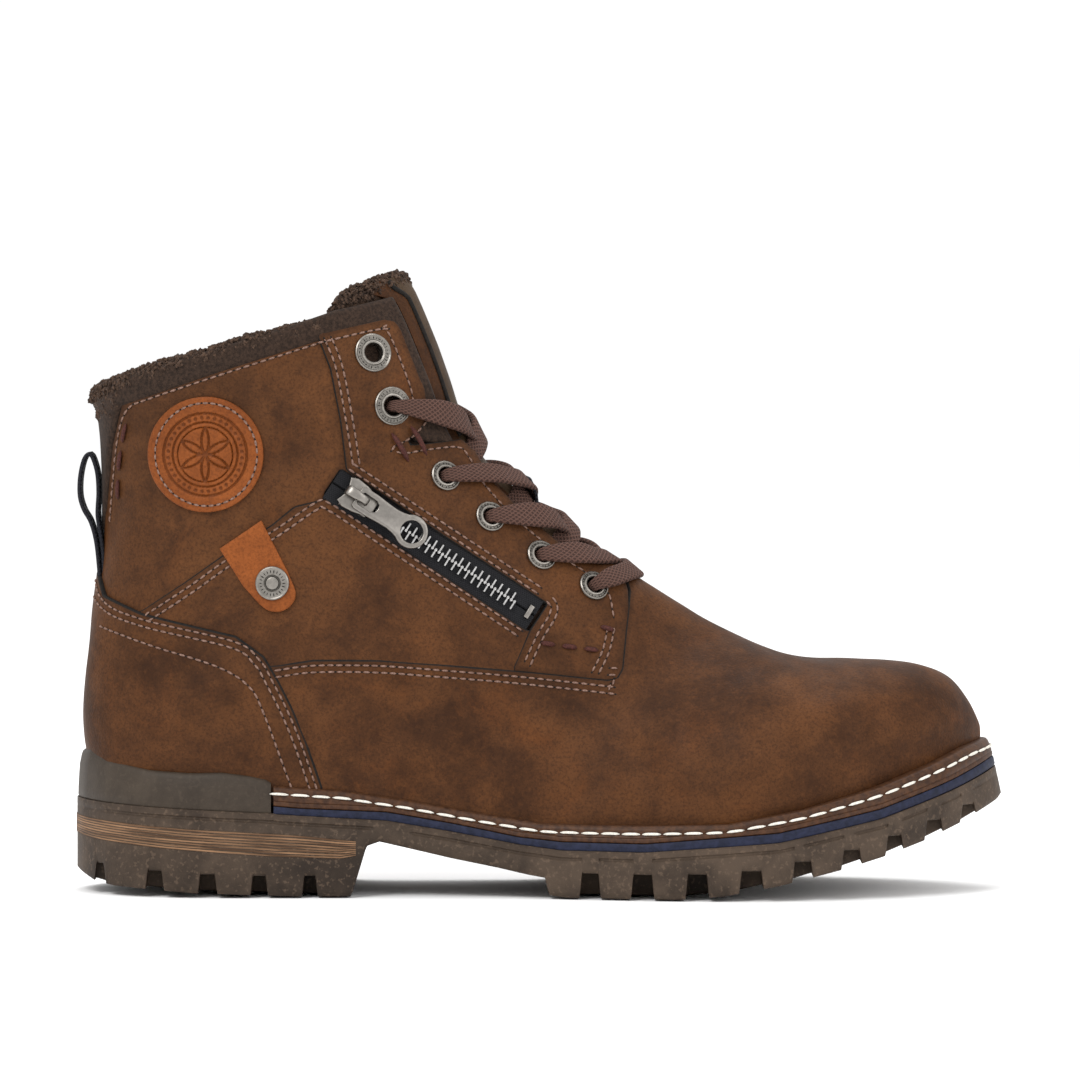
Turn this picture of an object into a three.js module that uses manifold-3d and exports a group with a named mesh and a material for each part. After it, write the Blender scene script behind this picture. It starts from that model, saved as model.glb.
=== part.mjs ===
// Warm-lined lace-up ankle boot, right foot. Millimetres, +X to the toe, +Z up, -Y the outer side.
import * as THREE from "three";
import Module from "manifold-3d";

// Overall sizes
const LENGTH = 309.6;
const HEIGHT = 205.7;
const BALL_WIDTH = 109;
// Thicknesses and clearances
const LEATHER = 1.8;
const OVERLAY = 1.0;
const INSULATION = 3.0;
const LINING = 4.6;
const GAP = 0.3;
const BOARD = 2.4;
const FOOTBED = 5.0;
// Hardware
const BIG_EYELET = { outer: 6.4, bore: 3.2 };
const SMALL_EYELET = { outer: 5.1, bore: 2.7 };
const LACE_WIDTH = 8.4;
const LACE_THICK = 2.0;
const ZIP_WIDTH = 10.4;
const TOOTH_PITCH = 2.6;
const PATCH_RADIUS = 19;
const RIVET_RADIUS = 5.5;
const LOOP_WIDTH = 14;

// The profile tables are drawn for this size and stretched to the sizes above
const REF = { length: 309.6, height: 205.7, width: 109 };
const kx = LENGTH / REF.length;
const ky = BALL_WIDTH / REF.width;
const kz = HEIGHT / REF.height;
const at = (points) => points.map(([x, z]) => [x * kx, z * kz]);

// Rings of the upper: back x z, front x z, half width, widest share, back and front roundness, y shift
const RINGS = [
  [-143, 178, -44.4, 206.2, 31, 0.5, 2.2, 2.1, 0],
  [-147, 164, -38.5, 193, 35, 0.5, 2.2, 2.1, 0],
  [-146, 149, -30, 172, 36, 0.5, 2.2, 2.1, 0],
  [-145.3, 127, -21, 150.5, 36, 0.5, 2.2, 2.1, 0],
  [-146.2, 108, -6, 135, 36, 0.48, 2.2, 2.1, 0],
  [-148.3, 89, 8, 121.5, 36.5, 0.46, 2.3, 2.1, 0],
  [-150.3, 71, 19, 112, 37.3, 0.44, 2.3, 2.1, 0],
  [-151, 56, 27, 106.5, 37.8, 0.42, 2.4, 2.1, 0],
  [-149.5, 44, 33, 102.2, 38, 0.4, 2.6, 2.1, 0],
  [-145, 32, 38, 99, 38, 0.38, 2.9, 2.1, 0],
  [-130, 18, 43, 95.8, 37, 0.36, 3, 2.1, 0],
  [-103, 10, 48, 92.7, 35.8, 0.36, 3, 2.1, -0.5],
  [-70, 7, 53, 89.6, 34.8, 0.36, 3, 2.1, -1],
  [-35, 5, 58.5, 86.6, 35.5, 0.38, 3, 2.1, -1.5],
  [0, 4, 65, 83.5, 39.5, 0.4, 3, 2.2, -2],
  [32, 4, 73, 80.2, 45, 0.4, 3, 2.2, -2],
  [58, 6, 82, 77.2, 48.3, 0.4, 3, 2.3, -1.5],
  [80, 11, 92, 75.6, 47.8, 0.42, 3, 2.3, -1],
  [99, 17.5, 104, 75.3, 44.3, 0.42, 3, 2.4, 0],
  [114, 24, 116, 74.9, 37.5, 0.42, 3, 2.4, 1],
  [126, 30, 126.5, 73.4, 29.5, 0.45, 2.8, 2.4, 2],
  [135.5, 36.5, 135.5, 69.3, 20.5, 0.45, 2.6, 2.4, 3],
  [142, 42.5, 141.8, 62, 11, 0.5, 2.2, 2.2, 3.5],
  [145.3, 48, 145.3, 55, 3.5, 0.5, 2, 2, 4],
];
const COLS = 24;
const FAR = 90;

// Plan of the sole: x, half width, middle
const PLAN = [
  [-154.8, 0, 0], [-153.6, 7.5, 0], [-150.5, 16, 0], [-143, 26.8, 0], [-130, 36.3, 0], [-112, 40.5, 0],
  [-90, 41, 0], [-65, 39.6, -0.5], [-40, 38.6, -1], [-15, 40, -1.5], [10, 44, -2], [35, 50.4, -2],
  [58, 54, -1.5], [80, 54.5, -1], [100, 50.8, 0], [118, 43, 1], [134, 32.2, 2.5], [146, 19, 3.5],
  [152, 9.5, 4], [154.8, 0, 4],
];

// Side view lines, heel to toe
const MID_TOP = [[-153, 33], [-120, 31.2], [-87.3, 29.7], [-79.7, 29], [-50.7, 27.7], [-29, 24],
  [-7.3, 19.7], [7, 18.3], [33.7, 18.1], [78, 21.9], [112, 29.1], [137.5, 37.7], [151.1, 42.7]];
const MID_LOW = [[-87.3, 27.3], [-79.7, 26.8], [-50.7, 25.1], [-29, 21.5], [-7.3, 17.5], [7, 15.7],
  [33.7, 15.5], [78, 18.9], [112, 26.1], [137.5, 34.7], [152.4, 40.1]];
const RIM = [[-154.4, 31], [-87.8, 27.7]];
const WELT_TOP = [[-87.9, 36.5], [-79.7, 36], [-65.3, 35], [-43.7, 31.7], [-21.8, 27.7], [-0.2, 24.3],
  [14.3, 24], [33.7, 24], [61, 24.8], [86.5, 29.5], [112, 36.3], [129, 42.3], [145.2, 48.7],
  [150.3, 46.2], [151.1, 43]];
const CUP_TOP = [[-154, 46.5], [-151, 47.5], [-145.3, 44], [-130.7, 41.3], [-116.3, 40.5],
  [-104.7, 40.8], [-96, 39.7], [-90.3, 38.5], [-88.2, 37]];
const COLLAR_EDGE = [[-141, 162], [-138.3, 163], [-107, 174], [-73.7, 184.7], [-52.1, 189.7],
  [-48.6, 188.9], [-46.7, 186.5], [-40.3, 170], [-38.8, 166.9]];
const BAND_TOP = [[-160, 168], [-142, 168.8], [-135.3, 172], [-114, 178.3], [-81, 188.3], [-67.3, 193],
  [-60.8, 194.4], [-55.3, 193.7], [-47.4, 190.5], [-41.1, 183.4], [-36.2, 171], [-35, 167]];
const BACK_EDGE = [[-146.5, 108], [-144.4, 126], [-142, 148], [-138.3, 163]];
const THROAT = [[-38.8, 166.9], [-37, 156.3], [-41.5, 151.5], [-46, 148], [-38, 148.6], [-26.7, 149.7],
  [-22, 145.3], [-16.7, 136.3], [-5, 124], [9.3, 112.5], [20.5, 105.6], [25.5, 101.5]];
const VAMP_EDGE = [[-86.3, 76.3], [-74.7, 78], [-53.3, 77.9], [-32, 76.3], [-8.7, 74.2], [22.3, 70.7],
  [25, 71.3], [26.6, 74], [28.3, 91.7], [29, 99], [27, 106]];
const COUNTER_EDGE = [[-147, 107.7], [-143.7, 98], [-131, 92.7], [-100, 85.7], [-90.7, 79],
  [-86.3, 71.8], [-81, 61.3], [-76.7, 50.7], [-71.7, 36], [-70, 28]];
const DIAGONAL = [[-134, 92], [-117, 103.3], [-104.3, 112.3], [-88.3, 122.3], [-81, 128.3], [-71.3, 131]];
const FRONT_SEAM = [[-64, 140], [-66, 156.3], [-69.3, 173.3], [-73.7, 184.7]];
const TONGUE_BACK = [[24, 92], [5, 97.5], [-12, 108], [-30, 124], [-43, 142], [-52, 160], [-62, 184],
  [-66, 196], [-68, 206]];
const ZIP_START = [-67.6, 135.5];
const ZIP_END = [-2, 91.9];
const EYELETS = [
  [-55.7, 178.5, BIG_EYELET], [-49.3, 161, BIG_EYELET], [-31.8, 137.7, SMALL_EYELET],
  [-17.1, 124.2, SMALL_EYELET], [-0.2, 111.3, SMALL_EYELET], [17.1, 101, SMALL_EYELET],
];
// Grooves under the sole: from x, to x, roof height
const HEEL_GROOVES = [[-147.3, -144.1, 9.8], [-129.7, -124.3, 8.3], [-112.3, -106.7, 7.3],
  [-95, -90, 6.8], [-78, -73.7, 6.8]];
const LUG_GROOVES = [[13.2, 19.3, 8.1], [30, 36.8, 8], [47.8, 54.7, 8.3], [65.3, 72.5, 9.5],
  [82.7, 88.7, 12.5], [98.9, 104.8, 16], [113.6, 118.8, 20.2], [126.9, 132.3, 24.7], [139.2, 143.9, 29]];
const GROUND = [[-154.8, 7.3], [-147.6, 3.7], [-141, 2.7], [-127.6, 2], [-114, 1], [-95, 0.5], [-80, 0],
  [-62.3, 0], [-59.5, 9], [-57.3, 16.5], [-53, 18], [-29, 12.5], [-14.7, 9.7], [-3.7, 7.3], [1.6, 6.4],
  [2.6, 0.7], [8, 0], [46, 0], [60, 1.2], [78, 4.6], [99, 9.7], [112, 13.3], [126, 18], [139, 23.3],
  [152, 29.7], [154.8, 32]];

const LOOKS = {
  leather: [0x6e4a2a, 0.75, 0], cognac: [0x9a5a2c, 0.6, 0], fleece: [0x4a3a30, 1, 0],
  felt: [0x3c2b22, 1, 0], lace: [0x644639, 0.9, 0], black: [0x141416, 0.9, 0],
  silver: [0x9a9690, 0.35, 1], steel: [0x70747a, 0.4, 1], rubber: [0x4b4137, 0.85, 0],
  welt: [0x5f412a, 0.8, 0], navy: [0x262d42, 0.8, 0], stack: [0x8a6a48, 0.7, 0],
  board: [0xa8895f, 0.9, 0], foam: [0x8c8a84, 0.95, 0], stiff: [0xb9b2a2, 0.8, 0],
};

const wasm = await Module();
wasm.setup();
const group = new THREE.Group();
group.name = "ankle_boot";

/** Height of a side view line at x. */
function lineAt(line, x) {
  const i = Math.max(1, line.findIndex((p) => p[0] >= x));
  const [a, b] = line[line.length - 1][0] < x ? line.slice(-2) : [line[i - 1], line[i]];
  return a[1] + ((b[1] - a[1]) * (x - a[0])) / (b[0] - a[0]);
}
const raised = (line, up) => line.map(([x, z]) => [x, z + up]);

/** A closed solid for the joining and cutting library, from points and triangles. */
function solidOf(points, triangles) {
  const tris = new Uint32Array(triangles.flat());
  let volume = 0;
  for (const [a, b, c] of triangles) {
    const [p, q, r] = [points[a], points[b], points[c]];
    volume += p.dot(new THREE.Vector3().crossVectors(q, r));
  }
  if (volume < 0) for (let i = 0; i < tris.length; i += 3) [tris[i], tris[i + 1]] = [tris[i + 1], tris[i]];
  const vertProperties = new Float32Array(points.flatMap((p) => [p.x, p.y, p.z]));
  return new wasm.Manifold(new wasm.Mesh({ numProp: 3, vertProperties, triVerts: tris }));
}

/** The same from a three.js geometry, with its double points merged. */
function fromGeometry(geometry) {
  const flat = geometry.index ? geometry.toNonIndexed() : geometry;
  const position = flat.getAttribute("position");
  const seen = new Map();
  const points = [];
  const index = [];
  for (let i = 0; i < position.count; i++) {
    const p = new THREE.Vector3().fromBufferAttribute(position, i);
    const key = p.toArray().map((v) => Math.round(v * 1e4)).join();
    if (!seen.has(key)) seen.set(key, points.push(p) - 1);
    index.push(seen.get(key));
  }
  const triangles = [];
  for (let i = 0; i < index.length; i += 3) {
    const [a, b, c] = index.slice(i, i + 3);
    if (a !== b && b !== c && c !== a) triangles.push([a, b, c]);
  }
  return solidOf(points, triangles);
}

/** Adds a finished solid to the part as its own named mesh. */
function add(name, solid, look) {
  const mesh = solid.getMesh();
  const geometry = new THREE.BufferGeometry();
  geometry.setAttribute("position", new THREE.BufferAttribute(new Float32Array(mesh.vertProperties), 3));
  geometry.setIndex(new THREE.BufferAttribute(new Uint32Array(mesh.triVerts), 1));
  geometry.computeVertexNormals();
  const [color, roughness, metalness] = LOOKS[look];
  const made = new THREE.Mesh(geometry, new THREE.MeshStandardMaterial({ color, roughness, metalness }));
  made.name = name;
  group.add(made);
  return solid;
}

// ---- The upper's surface ----
const LAST = RINGS.length - 1;
const backLine = RINGS.map((r) => new THREE.Vector2(r[0] * kx, r[1] * kz));
const frontLine = RINGS.map((r) => new THREE.Vector2(r[2] * kx, r[3] * kz));
/** Unit normal of a profile line at ring i, pointing away from the foot. */
function lineNormal(line, i, side) {
  const t = line[Math.min(i + 1, LAST)].clone().sub(line[Math.max(i - 1, 0)]).normalize();
  return new THREE.Vector2(-t.y * side, t.x * side);
}
/** Ring i moved out by d: its two ends in the side view, half width and shape. */
function ring(i, d) {
  const [, , , , w, share, nb, nf, shift] = RINGS[i];
  const back = backLine[i].clone().addScaledVector(lineNormal(backLine, i, -1), d);
  const front = frontLine[i].clone().addScaledVector(lineNormal(frontLine, i, 1), d);
  return { back, front, w: Math.max(w * ky + d, w * ky * 0.2), share, nb, nf, shift: shift * ky };
}
/** Point of the surface: u counts rings, v goes once round from the front over the outer side. */
function surface(u, v, d) {
  const i = Math.min(LAST - 1, Math.max(0, Math.floor(u)));
  const angle = v * 2 * Math.PI;
  const c = Math.cos(angle);
  const s = Math.sin(angle);
  const [p, q] = [i, i + 1].map((k) => {
    const r = ring(k, d);
    const n = c > 0 ? r.nf : r.nb;
    const along = Math.sign(c) * Math.abs(c) ** (2 / n) * (c > 0 ? 1 - r.share : r.share) + r.share;
    const side = r.back.clone().lerp(r.front, along);
    return new THREE.Vector3(side.x, r.shift - Math.sign(s) * Math.abs(s) ** (2 / n) * r.w, side.y);
  });
  return p.lerp(q, u - i);
}
/** Grid of the surface at d, with the cap point at the toe last. */
function grid(d) {
  const points = [];
  for (let i = 0; i <= LAST; i++) {
    for (let j = 0; j < COLS; j++) points.push(surface(i, j / COLS, d));
  }
  const tip = ring(LAST, d);
  const mid = tip.back.clone().lerp(tip.front, 0.5);
  points.push(new THREE.Vector3(mid.x + 0.4, tip.shift, mid.y));
  return points;
}
function gridTriangles(base, flip) {
  const out = [];
  const put = (a, b, c) => out.push(flip ? [a, c, b] : [a, b, c]);
  const n = (i, j) => base + i * COLS + (j % COLS);
  for (let i = 0; i < LAST; i++) {
    for (let j = 0; j < COLS; j++) {
      put(n(i, j), n(i + 1, j), n(i + 1, j + 1));
      put(n(i, j), n(i + 1, j + 1), n(i, j + 1));
    }
  }
  for (let j = 0; j < COLS; j++) put(n(LAST, j), base + (LAST + 1) * COLS, n(LAST, j + 1));
  return out;
}
/** The whole boot shape filled, at distance d from the upper's face. */
function body(d) {
  const points = grid(d);
  const triangles = gridTriangles(0, false);
  const top = points.push(points[0].clone().lerp(points[COLS / 2], 0.5)) - 1;
  for (let j = 0; j < COLS; j++) triangles.push([(j + 1) % COLS, top, j]);
  return solidOf(points, triangles);
}
/** A layer of the upper between two distances, open at the collar. */
function layer(outer, inner) {
  const a = grid(outer);
  const points = [...a, ...grid(inner)];
  const triangles = [...gridTriangles(0, false), ...gridTriangles(a.length, true)];
  for (let j = 0; j < COLS; j++) {
    const k = (j + 1) % COLS;
    triangles.push([j, k, a.length + k], [j, a.length + k, a.length + j]);
  }
  return solidOf(points, triangles);
}

// ---- Outlines in the side view, made into blocks that run across the boot ----
/** Moves an outline out by d, so that a neighbour keeps clear of it. */
function grown(points, d) {
  const area = points.reduce((sum, p, i) => {
    const q = points[(i + 1) % points.length];
    return sum + p[0] * q[1] - q[0] * p[1];
  }, 0);
  return points.map((p, i) => {
    const a = new THREE.Vector2(...points[(i + points.length - 1) % points.length]);
    const b = new THREE.Vector2(...points[(i + 1) % points.length]);
    const here = new THREE.Vector2(...p);
    const e = here.clone().sub(a).normalize();
    const f = b.sub(here).normalize();
    const m = e.clone().add(f).normalize();
    const reach = (d * Math.sign(area)) / Math.max(0.5, m.dot(e));
    return [p[0] + m.y * reach, p[1] - m.x * reach];
  });
}
/** A block with this side view, from y0 to y1. */
function block(points, y0 = -FAR, y1 = FAR) {
  const shape = new THREE.Shape(points.map(([x, z]) => new THREE.Vector2(x, z)));
  const geometry = new THREE.ExtrudeGeometry(shape, { depth: y1 - y0, bevelEnabled: false });
  geometry.rotateX(Math.PI / 2).translate(0, y1, 0);
  return fromGeometry(geometry);
}
const SIDES = { lateral: [-FAR, -0.2], medial: [0.2, FAR] };
const reversed = (line) => [...line].reverse();

const midTop = at(MID_TOP);
const floor = (up) => [[-FAR * 2.4, 33], ...MID_TOP, [FAR * 2, 52]].map(([x, z]) => [x * kx, z * kz + up]);
/** Everything above or below the sole's top line, raised by up. */
const above = (up) => block([...floor(up), [FAR * 2 * kx, 400], [-FAR * 2.4 * kx, 400]]);
const below = (up) => block([...floor(up), [FAR * 2 * kx, -90], [-FAR * 2.4 * kx, -90]]);
const upperFloor = above(BOARD + 2 * GAP + GAP);

const inner = -LEATHER;
const insulationOut = inner - GAP;
const insulationIn = insulationOut - INSULATION;
const liningOut = insulationIn - GAP;
const liningIn = liningOut - LINING;
const slotDepth = LACE_THICK + 7 * GAP;
const tongueOut = inner - slotDepth;
const tongueIn = tongueOut - 4;

const vampShape = at([...VAMP_EDGE, [60, 130], [190, 130], [190, -40], [-60, -40], [-70, 28],
  [-71.5, 36], [-76.5, 50.7], [-80.8, 61.3], [-86.1, 71.8]]);
const counterShape = at([...COUNTER_EDGE, [-70, -40], [-190, -40], [-190, 107.7]]);
const eyestayShape = at([
  [-3.7, 87.3], [-9, 75.3], [-8.7, 74.2], [22.3, 70.7], [25, 71.3], [26.6, 74], [28.3, 91.7], [28.6, 99],
  ...reversed(THROAT), ...reversed(COLLAR_EDGE.slice(3, 8)), ...reversed(FRONT_SEAM),
  [-0.3, 96.5],
].filter((p, i, all) => i === 0 || Math.hypot(p[0] - all[i - 1][0], p[1] - all[i - 1][1]) > 0.5));
/** Outline of the slot for the zip: its line in the side view, half a zip wide either side. */
function zipWindow() {
  const [a, b] = at([ZIP_START, ZIP_END]).map((p) => new THREE.Vector2(...p));
  const dir = b.clone().sub(a).normalize();
  const side = new THREE.Vector2(-dir.y, dir.x).multiplyScalar(ZIP_WIDTH / 2 + 0.1);
  return [[a, 1, -1.2], [b, 1, 1.2], [b, -1, 1.2], [a, -1, -1.2]].map(([p, s, e]) =>
    [p.x + side.x * s + dir.x * e, p.y + side.y * s + dir.y * e]);
}
const windowShape = zipWindow();
const quarterShape = at([...reversed(DIAGONAL), ...BACK_EDGE, [-107, 174], ...reversed(FRONT_SEAM)]);
const tongueFront = at([...TONGUE_BACK, [60, 230], [60, 92]]);

const face = layer(0, inner);
const overlayFace = layer(OVERLAY, inner);

// ---- Upper panels ----
const noTop = block(at([...BACK_EDGE.slice(0, 3), ...COLLAR_EDGE.slice(1), ...THROAT.slice(1), [40, 104],
  [190, 104], [190, -60], [-190, -60], [-190, 108]]));
const vampBlock = block(vampShape);
add("vamp", overlayFace.intersect(vampBlock).intersect(upperFloor), "leather");
const clearVamp = block(grown(vampShape, GAP));
add("heel_counter", overlayFace.intersect(block(counterShape)).subtract(clearVamp)
  .intersect(upperFloor), "leather");
const clearCounter = block(grown(counterShape, GAP));
const clearEyestay = block(grown(eyestayShape, GAP));
const clearWindow = block(grown(windowShape, GAP));

/** Where a point of the side view lies on the upper's face, with the face's own directions there. */
function locate(x, z, side) {
  let best = [0, 0, Infinity];
  const error = (u, v) => {
    const p = surface(u, v, 0);
    return (p.x - x) ** 2 + (p.z - z) ** 2;
  };
  const sign = side === "lateral" ? 1 : -1;
  const wrap = (v) => (sign > 0 ? v : 1 - v);
  for (let u = 0; u < LAST; u += 0.5) {
    for (let v = 0.02; v < 0.49; v += 0.02) {
      const e = error(u, wrap(v));
      if (e < best[2]) best = [u, v, e];
    }
  }
  for (let step = 0.4; step > 1e-5; step *= 0.6) {
    for (const [du, dv] of [[1, 0], [-1, 0], [0, 0.1], [0, -0.1], [0, 0.1], [0, -0.1]]) {
      const u = Math.min(LAST - 0.001, Math.max(0, best[0] + du * step));
      const v = Math.min(0.499, Math.max(0.001, best[1] + dv * step));
      const e = error(u, wrap(v));
      if (e < best[2]) best = [u, v, e];
    }
  }
  return spot(best[0], wrap(best[1]));
}
/** A place on the face: its point and outward normal. */
function spot(u, v) {
  const point = surface(u, v, 0);
  const du = surface(Math.min(u + 0.2, LAST), v, 0).sub(surface(Math.max(u - 0.2, 0), v, 0));
  const dv = surface(u, v + 0.01, 0).sub(surface(u, v - 0.01, 0));
  const normal = du.cross(dv).normalize();
  const outward = surface(u, v, 3).sub(point);
  return { u, v, point, normal: normal.dot(outward) < 0 ? normal.negate() : normal };
}
/** Turns a geometry made round +Z so that it stands on a place, its base at distance d. */
function standOn(geometry, place, d = 0) {
  const turn = new THREE.Quaternion().setFromUnitVectors(new THREE.Vector3(0, 0, 1), place.normal);
  geometry.applyQuaternion(turn);
  const p = place.point.clone().addScaledVector(place.normal, d);
  return geometry.translate(p.x, p.y, p.z);
}
const lathe = (profile, steps = 10) =>
  new THREE.LatheGeometry(profile.map(([r, h]) => new THREE.Vector2(r, h)), steps).rotateX(Math.PI / 2);

const eyeletPlaces = {};
for (const [side, range] of Object.entries(SIDES)) {
  eyeletPlaces[side] = EYELETS.map(([x, z, size]) => ({ ...locate(x * kx, z * kz, side), size }));
  let eyestay = overlayFace.intersect(block(eyestayShape, ...range)).subtract(clearVamp);
  for (const place of eyeletPlaces[side]) {
    const bore = lathe([[0, -5], [place.size.bore + 0.6 + GAP, -5], [place.size.bore + 0.6 + GAP, 5],
      [0, 5]]);
    eyestay = eyestay.subtract(fromGeometry(standOn(bore, place)));
  }
  if (side === "lateral") eyestay = eyestay.subtract(clearWindow);
  add(`eyestay_${side}`, eyestay, "leather");
  let quarter = face.intersect(block(quarterShape, ...range)).subtract(clearCounter)
    .subtract(clearEyestay);
  const ankleClear = block(grown(quarterShape, GAP));
  let lower = face.intersect(noTop).intersect(block(lowerShape(side), ...range)).subtract(clearVamp)
    .subtract(clearCounter).subtract(clearEyestay).subtract(ankleClear).intersect(upperFloor);
  if (side === "lateral") {
    quarter = quarter.subtract(clearWindow);
    lower = lower.subtract(clearWindow);
  }
  add(`ankle_panel_${side}`, quarter, "leather");
  add(`side_panel_${side}`, lower, "leather");
}
/** Rough outline of the lower side panel, trimmed by its neighbours; the zip ends it on the outer side. */
function lowerShape(side) {
  const corner = side === "lateral" ? [-60, 130.5] : [-62, 139];
  return at([[-116, 60], [-126, 97.3], [-117, 103.3], [-71.3, 131], corner, [2, 97], [2, 70], [-60, 70]]);
}
for (const [side, range] of Object.entries(SIDES)) {
  eyeletPlaces[side].forEach((place, i) => {
    const { outer, bore } = place.size;
    const [low, high] = [inner + 0.1, OVERLAY + GAP];
    const profile = [[bore, low], [bore + 0.6, low], [bore + 0.6, high], [outer, high],
      [outer - 0.3, high + 0.7], [bore + 0.3, high + 0.9], [bore, high + 0.6], [bore, low]];
    add(`eyelet_${side}_${i + 1}`, fromGeometry(standOn(lathe(profile), place)), "silver");
  });
}

// ---- Collar, insulation, lining, stiffeners ----
const bandShape = at([...BACK_EDGE.slice(1, 3), ...COLLAR_EDGE.slice(1), ...reversed(BAND_TOP),
  [-160, 160], [-150, 126]]);
const clearPanels = block(grown(at([...BACK_EDGE.slice(0, 3), ...COLLAR_EDGE.slice(1), [0, 160],
  [0, 60], [-120, 60]]), GAP));
const THROAT_HALF = 17;
const throatGap = block(at([[-90, 100], [60, 100], [60, 230], [-90, 230]]), -THROAT_HALF - 1,
  THROAT_HALF + 1);
add("collar_band", layer(0.6, insulationIn).intersect(block(bandShape)).subtract(clearPanels)
  .subtract(throatGap), "felt");
const tongueClear = block(grown(tongueFront, 5));
const bandFoot = block(at([[-146.5, 118], [-141.5, 146], [-137.6, 161.5], [-107, 172.5], [-73.7, 183],
  [-20, 190], [60, 190], [60, -60], [-190, -60], [-190, 112]]));
const toeShape = at([[101, -40], [101, 130], [190, 130], [190, -40]]);
const heelShape = at([[-190, 92], [-133, 89], [-104, 83], [-95, 77], [-86, 60], [-80, 28], [-80, -40],
  [-190, -40]]);
const clearToe = block(grown(toeShape, GAP));
const clearHeel = block(grown(heelShape, GAP));
add("insulation", layer(insulationOut, insulationIn).intersect(upperFloor).intersect(bandFoot)
  .subtract(tongueClear).subtract(clearToe).subtract(clearHeel), "foam");
const stiff = layer(insulationOut, insulationIn + 0.8).intersect(upperFloor);
add("toe_puff", stiff.intersect(block(toeShape)), "stiff");
add("heel_stiffener", stiff.intersect(block(heelShape)), "stiff");
const liningTop = at([[-190, 170], [-140, 170], [-134, 174.5], [-113.5, 180.5], [-80.5, 190.3],
  [-68, 195], [-62, 196.5], [-40, 196.5], [60, 196.5], [60, -60], [-190, -60]]);
add("lining", layer(liningOut, liningIn).intersect(upperFloor).intersect(block(liningTop))
  .subtract(tongueClear), "fleece");

// ---- Tongue ----
const HINGE = at([[-62, 153.6], [-29, 166.5], [10, 181.8]]);
const lowTongue = at([[-80, 146.5], [-62, 153.6], [-29, 166.5], [10, 181.8], [60, 181.8], [60, 20],
  [-80, 20]]);
const tongueLayer = layer(tongueOut, tongueIn);
add("tongue_lower", tongueLayer.intersect(block(tongueFront)).intersect(block(lowTongue))
  .subtract(block(grown(vampShape, -3), -FAR, FAR).intersect(body(inner - GAP)).subtract(body(-30)))
  .intersect(upperFloor), "leather");
const topTongue = at([[-90, 143], [-62, 154.4], [-29, 167.3], [10, 182.6], [10, 230], [-90, 230]]);
const tongueTop = layer(-1, tongueIn - 1).intersect(block(tongueFront)).intersect(block(topTongue));
const slim = tongueTop.intersect(block(at([[-90, 140], [10, 140], [10, 230], [-90, 230]]),
  -THROAT_HALF, THROAT_HALF));
const wings = tongueTop.intersect(block(at([[-90, 197.5], [10, 197.5], [10, 230], [-90, 230]]), -27, 27));
add("tongue_top", slim.add(wings), "leather");

// ---- Sole ----
const planAt = (grow) => {
  const outer = PLAN.map(([x, h, mid]) => [x * kx, (mid - h) * ky]);
  const back = PLAN.slice(1, -1).map(([x, h, mid]) => [x * kx, (mid + h) * ky]).reverse();
  const shape = new THREE.Shape(grown([...outer, ...back], grow).map((p) => new THREE.Vector2(...p)));
  const geometry = new THREE.ExtrudeGeometry(shape, { depth: 90 * kz, bevelEnabled: false });
  return fromGeometry(geometry.translate(0, 0, -10));
};
const plan = planAt(0);
/** The ground line with its grooves cut in. */
function groundLine() {
  const grooves = [...HEEL_GROOVES, ...LUG_GROOVES];
  const cuts = grooves.flatMap(([a, b, roof]) => [
    [a - 0.6, lineAt(GROUND, a - 0.6)], [a + 0.4, roof], [b - 0.4, roof],
    [b + 0.6, lineAt(GROUND, b + 0.6)]]);
  const inside = (x) => grooves.some(([a, b]) => x > a - 1.2 && x < b + 1.2);
  return [...GROUND.filter(([x]) => !inside(x)), ...cuts].sort((p, q) => p[0] - q[0]);
}
const soleShape = at([...groundLine(), [152.6, 39.9],
  ...reversed(raised(MID_LOW.slice(0, -1), -0.15)), ...reversed(RIM)]);
const bandTop = [[-154.8, 25.1], [-116.3, 22.3], [-80.2, 20.4], [-61.7, 18.4]];
const bandLow = [[-61.7, 13.6], [-65.7, 12.5], [-87.3, 13.2], [-123.5, 15.7], [-148.8, 18],
  [-154.8, 19.3]];
const stackShape = at([[-190, 25.1], ...bandTop, ...bandLow, [-190, 19.3]]);
const shankLine = MID_LOW.filter(([x]) => x > -82 && x < 0);
const shankShape = at([...raised(shankLine, -0.6), ...reversed(raised(shankLine, -2))]);
const outsole = plan.intersect(block(soleShape)).subtract(block(grown(stackShape, GAP)))
  .subtract(block(at([...raised(shankLine, 1), ...reversed(raised(shankLine, -2.3))])
    .map(([x, z]) => [x + (x > -40 ? 0.4 : -0.4), z]), -7.4, 7.4));
add("outsole", outsole, "rubber");
add("heel_stack_band", planAt(-0.4).intersect(block(stackShape)), "stack");
add("shank", block(shankShape, -7, 7), "steel");
const hollow = body(OVERLAY + GAP + 0.1);
const midLine = midTop.filter(([x]) => x > -88 * kx);
const midsoleFront = planAt(-0.6).intersect(block([...midLine,
  ...reversed(at(raised(MID_LOW, 0.15)))]));
const heelSeat = body(OVERLAY).intersect(block(at([[-170, 34], [-120, 31.2], [-86, 29.6],
  [-86, 27.6], [-87.8, 28], [-170, 32.3]])));
add("midsole", midsoleFront.add(heelSeat), "navy");
const weltShape = [...raised(midLine, 0.2), ...reversed(at(WELT_TOP))];
add("welt", planAt(-1).intersect(block(weltShape)).subtract(hollow), "welt");
const cupShape = at([[-170, 31.9], [-154.4, 31.2], [-88.2, 27.9], ...reversed(CUP_TOP), [-170, 46.5]]);
add("heel_cup", planAt(-0.8).intersect(block(cupShape)).subtract(hollow), "rubber");
add("insole_board", body(OVERLAY).intersect(below(GAP + BOARD)).intersect(above(GAP)), "board");
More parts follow.
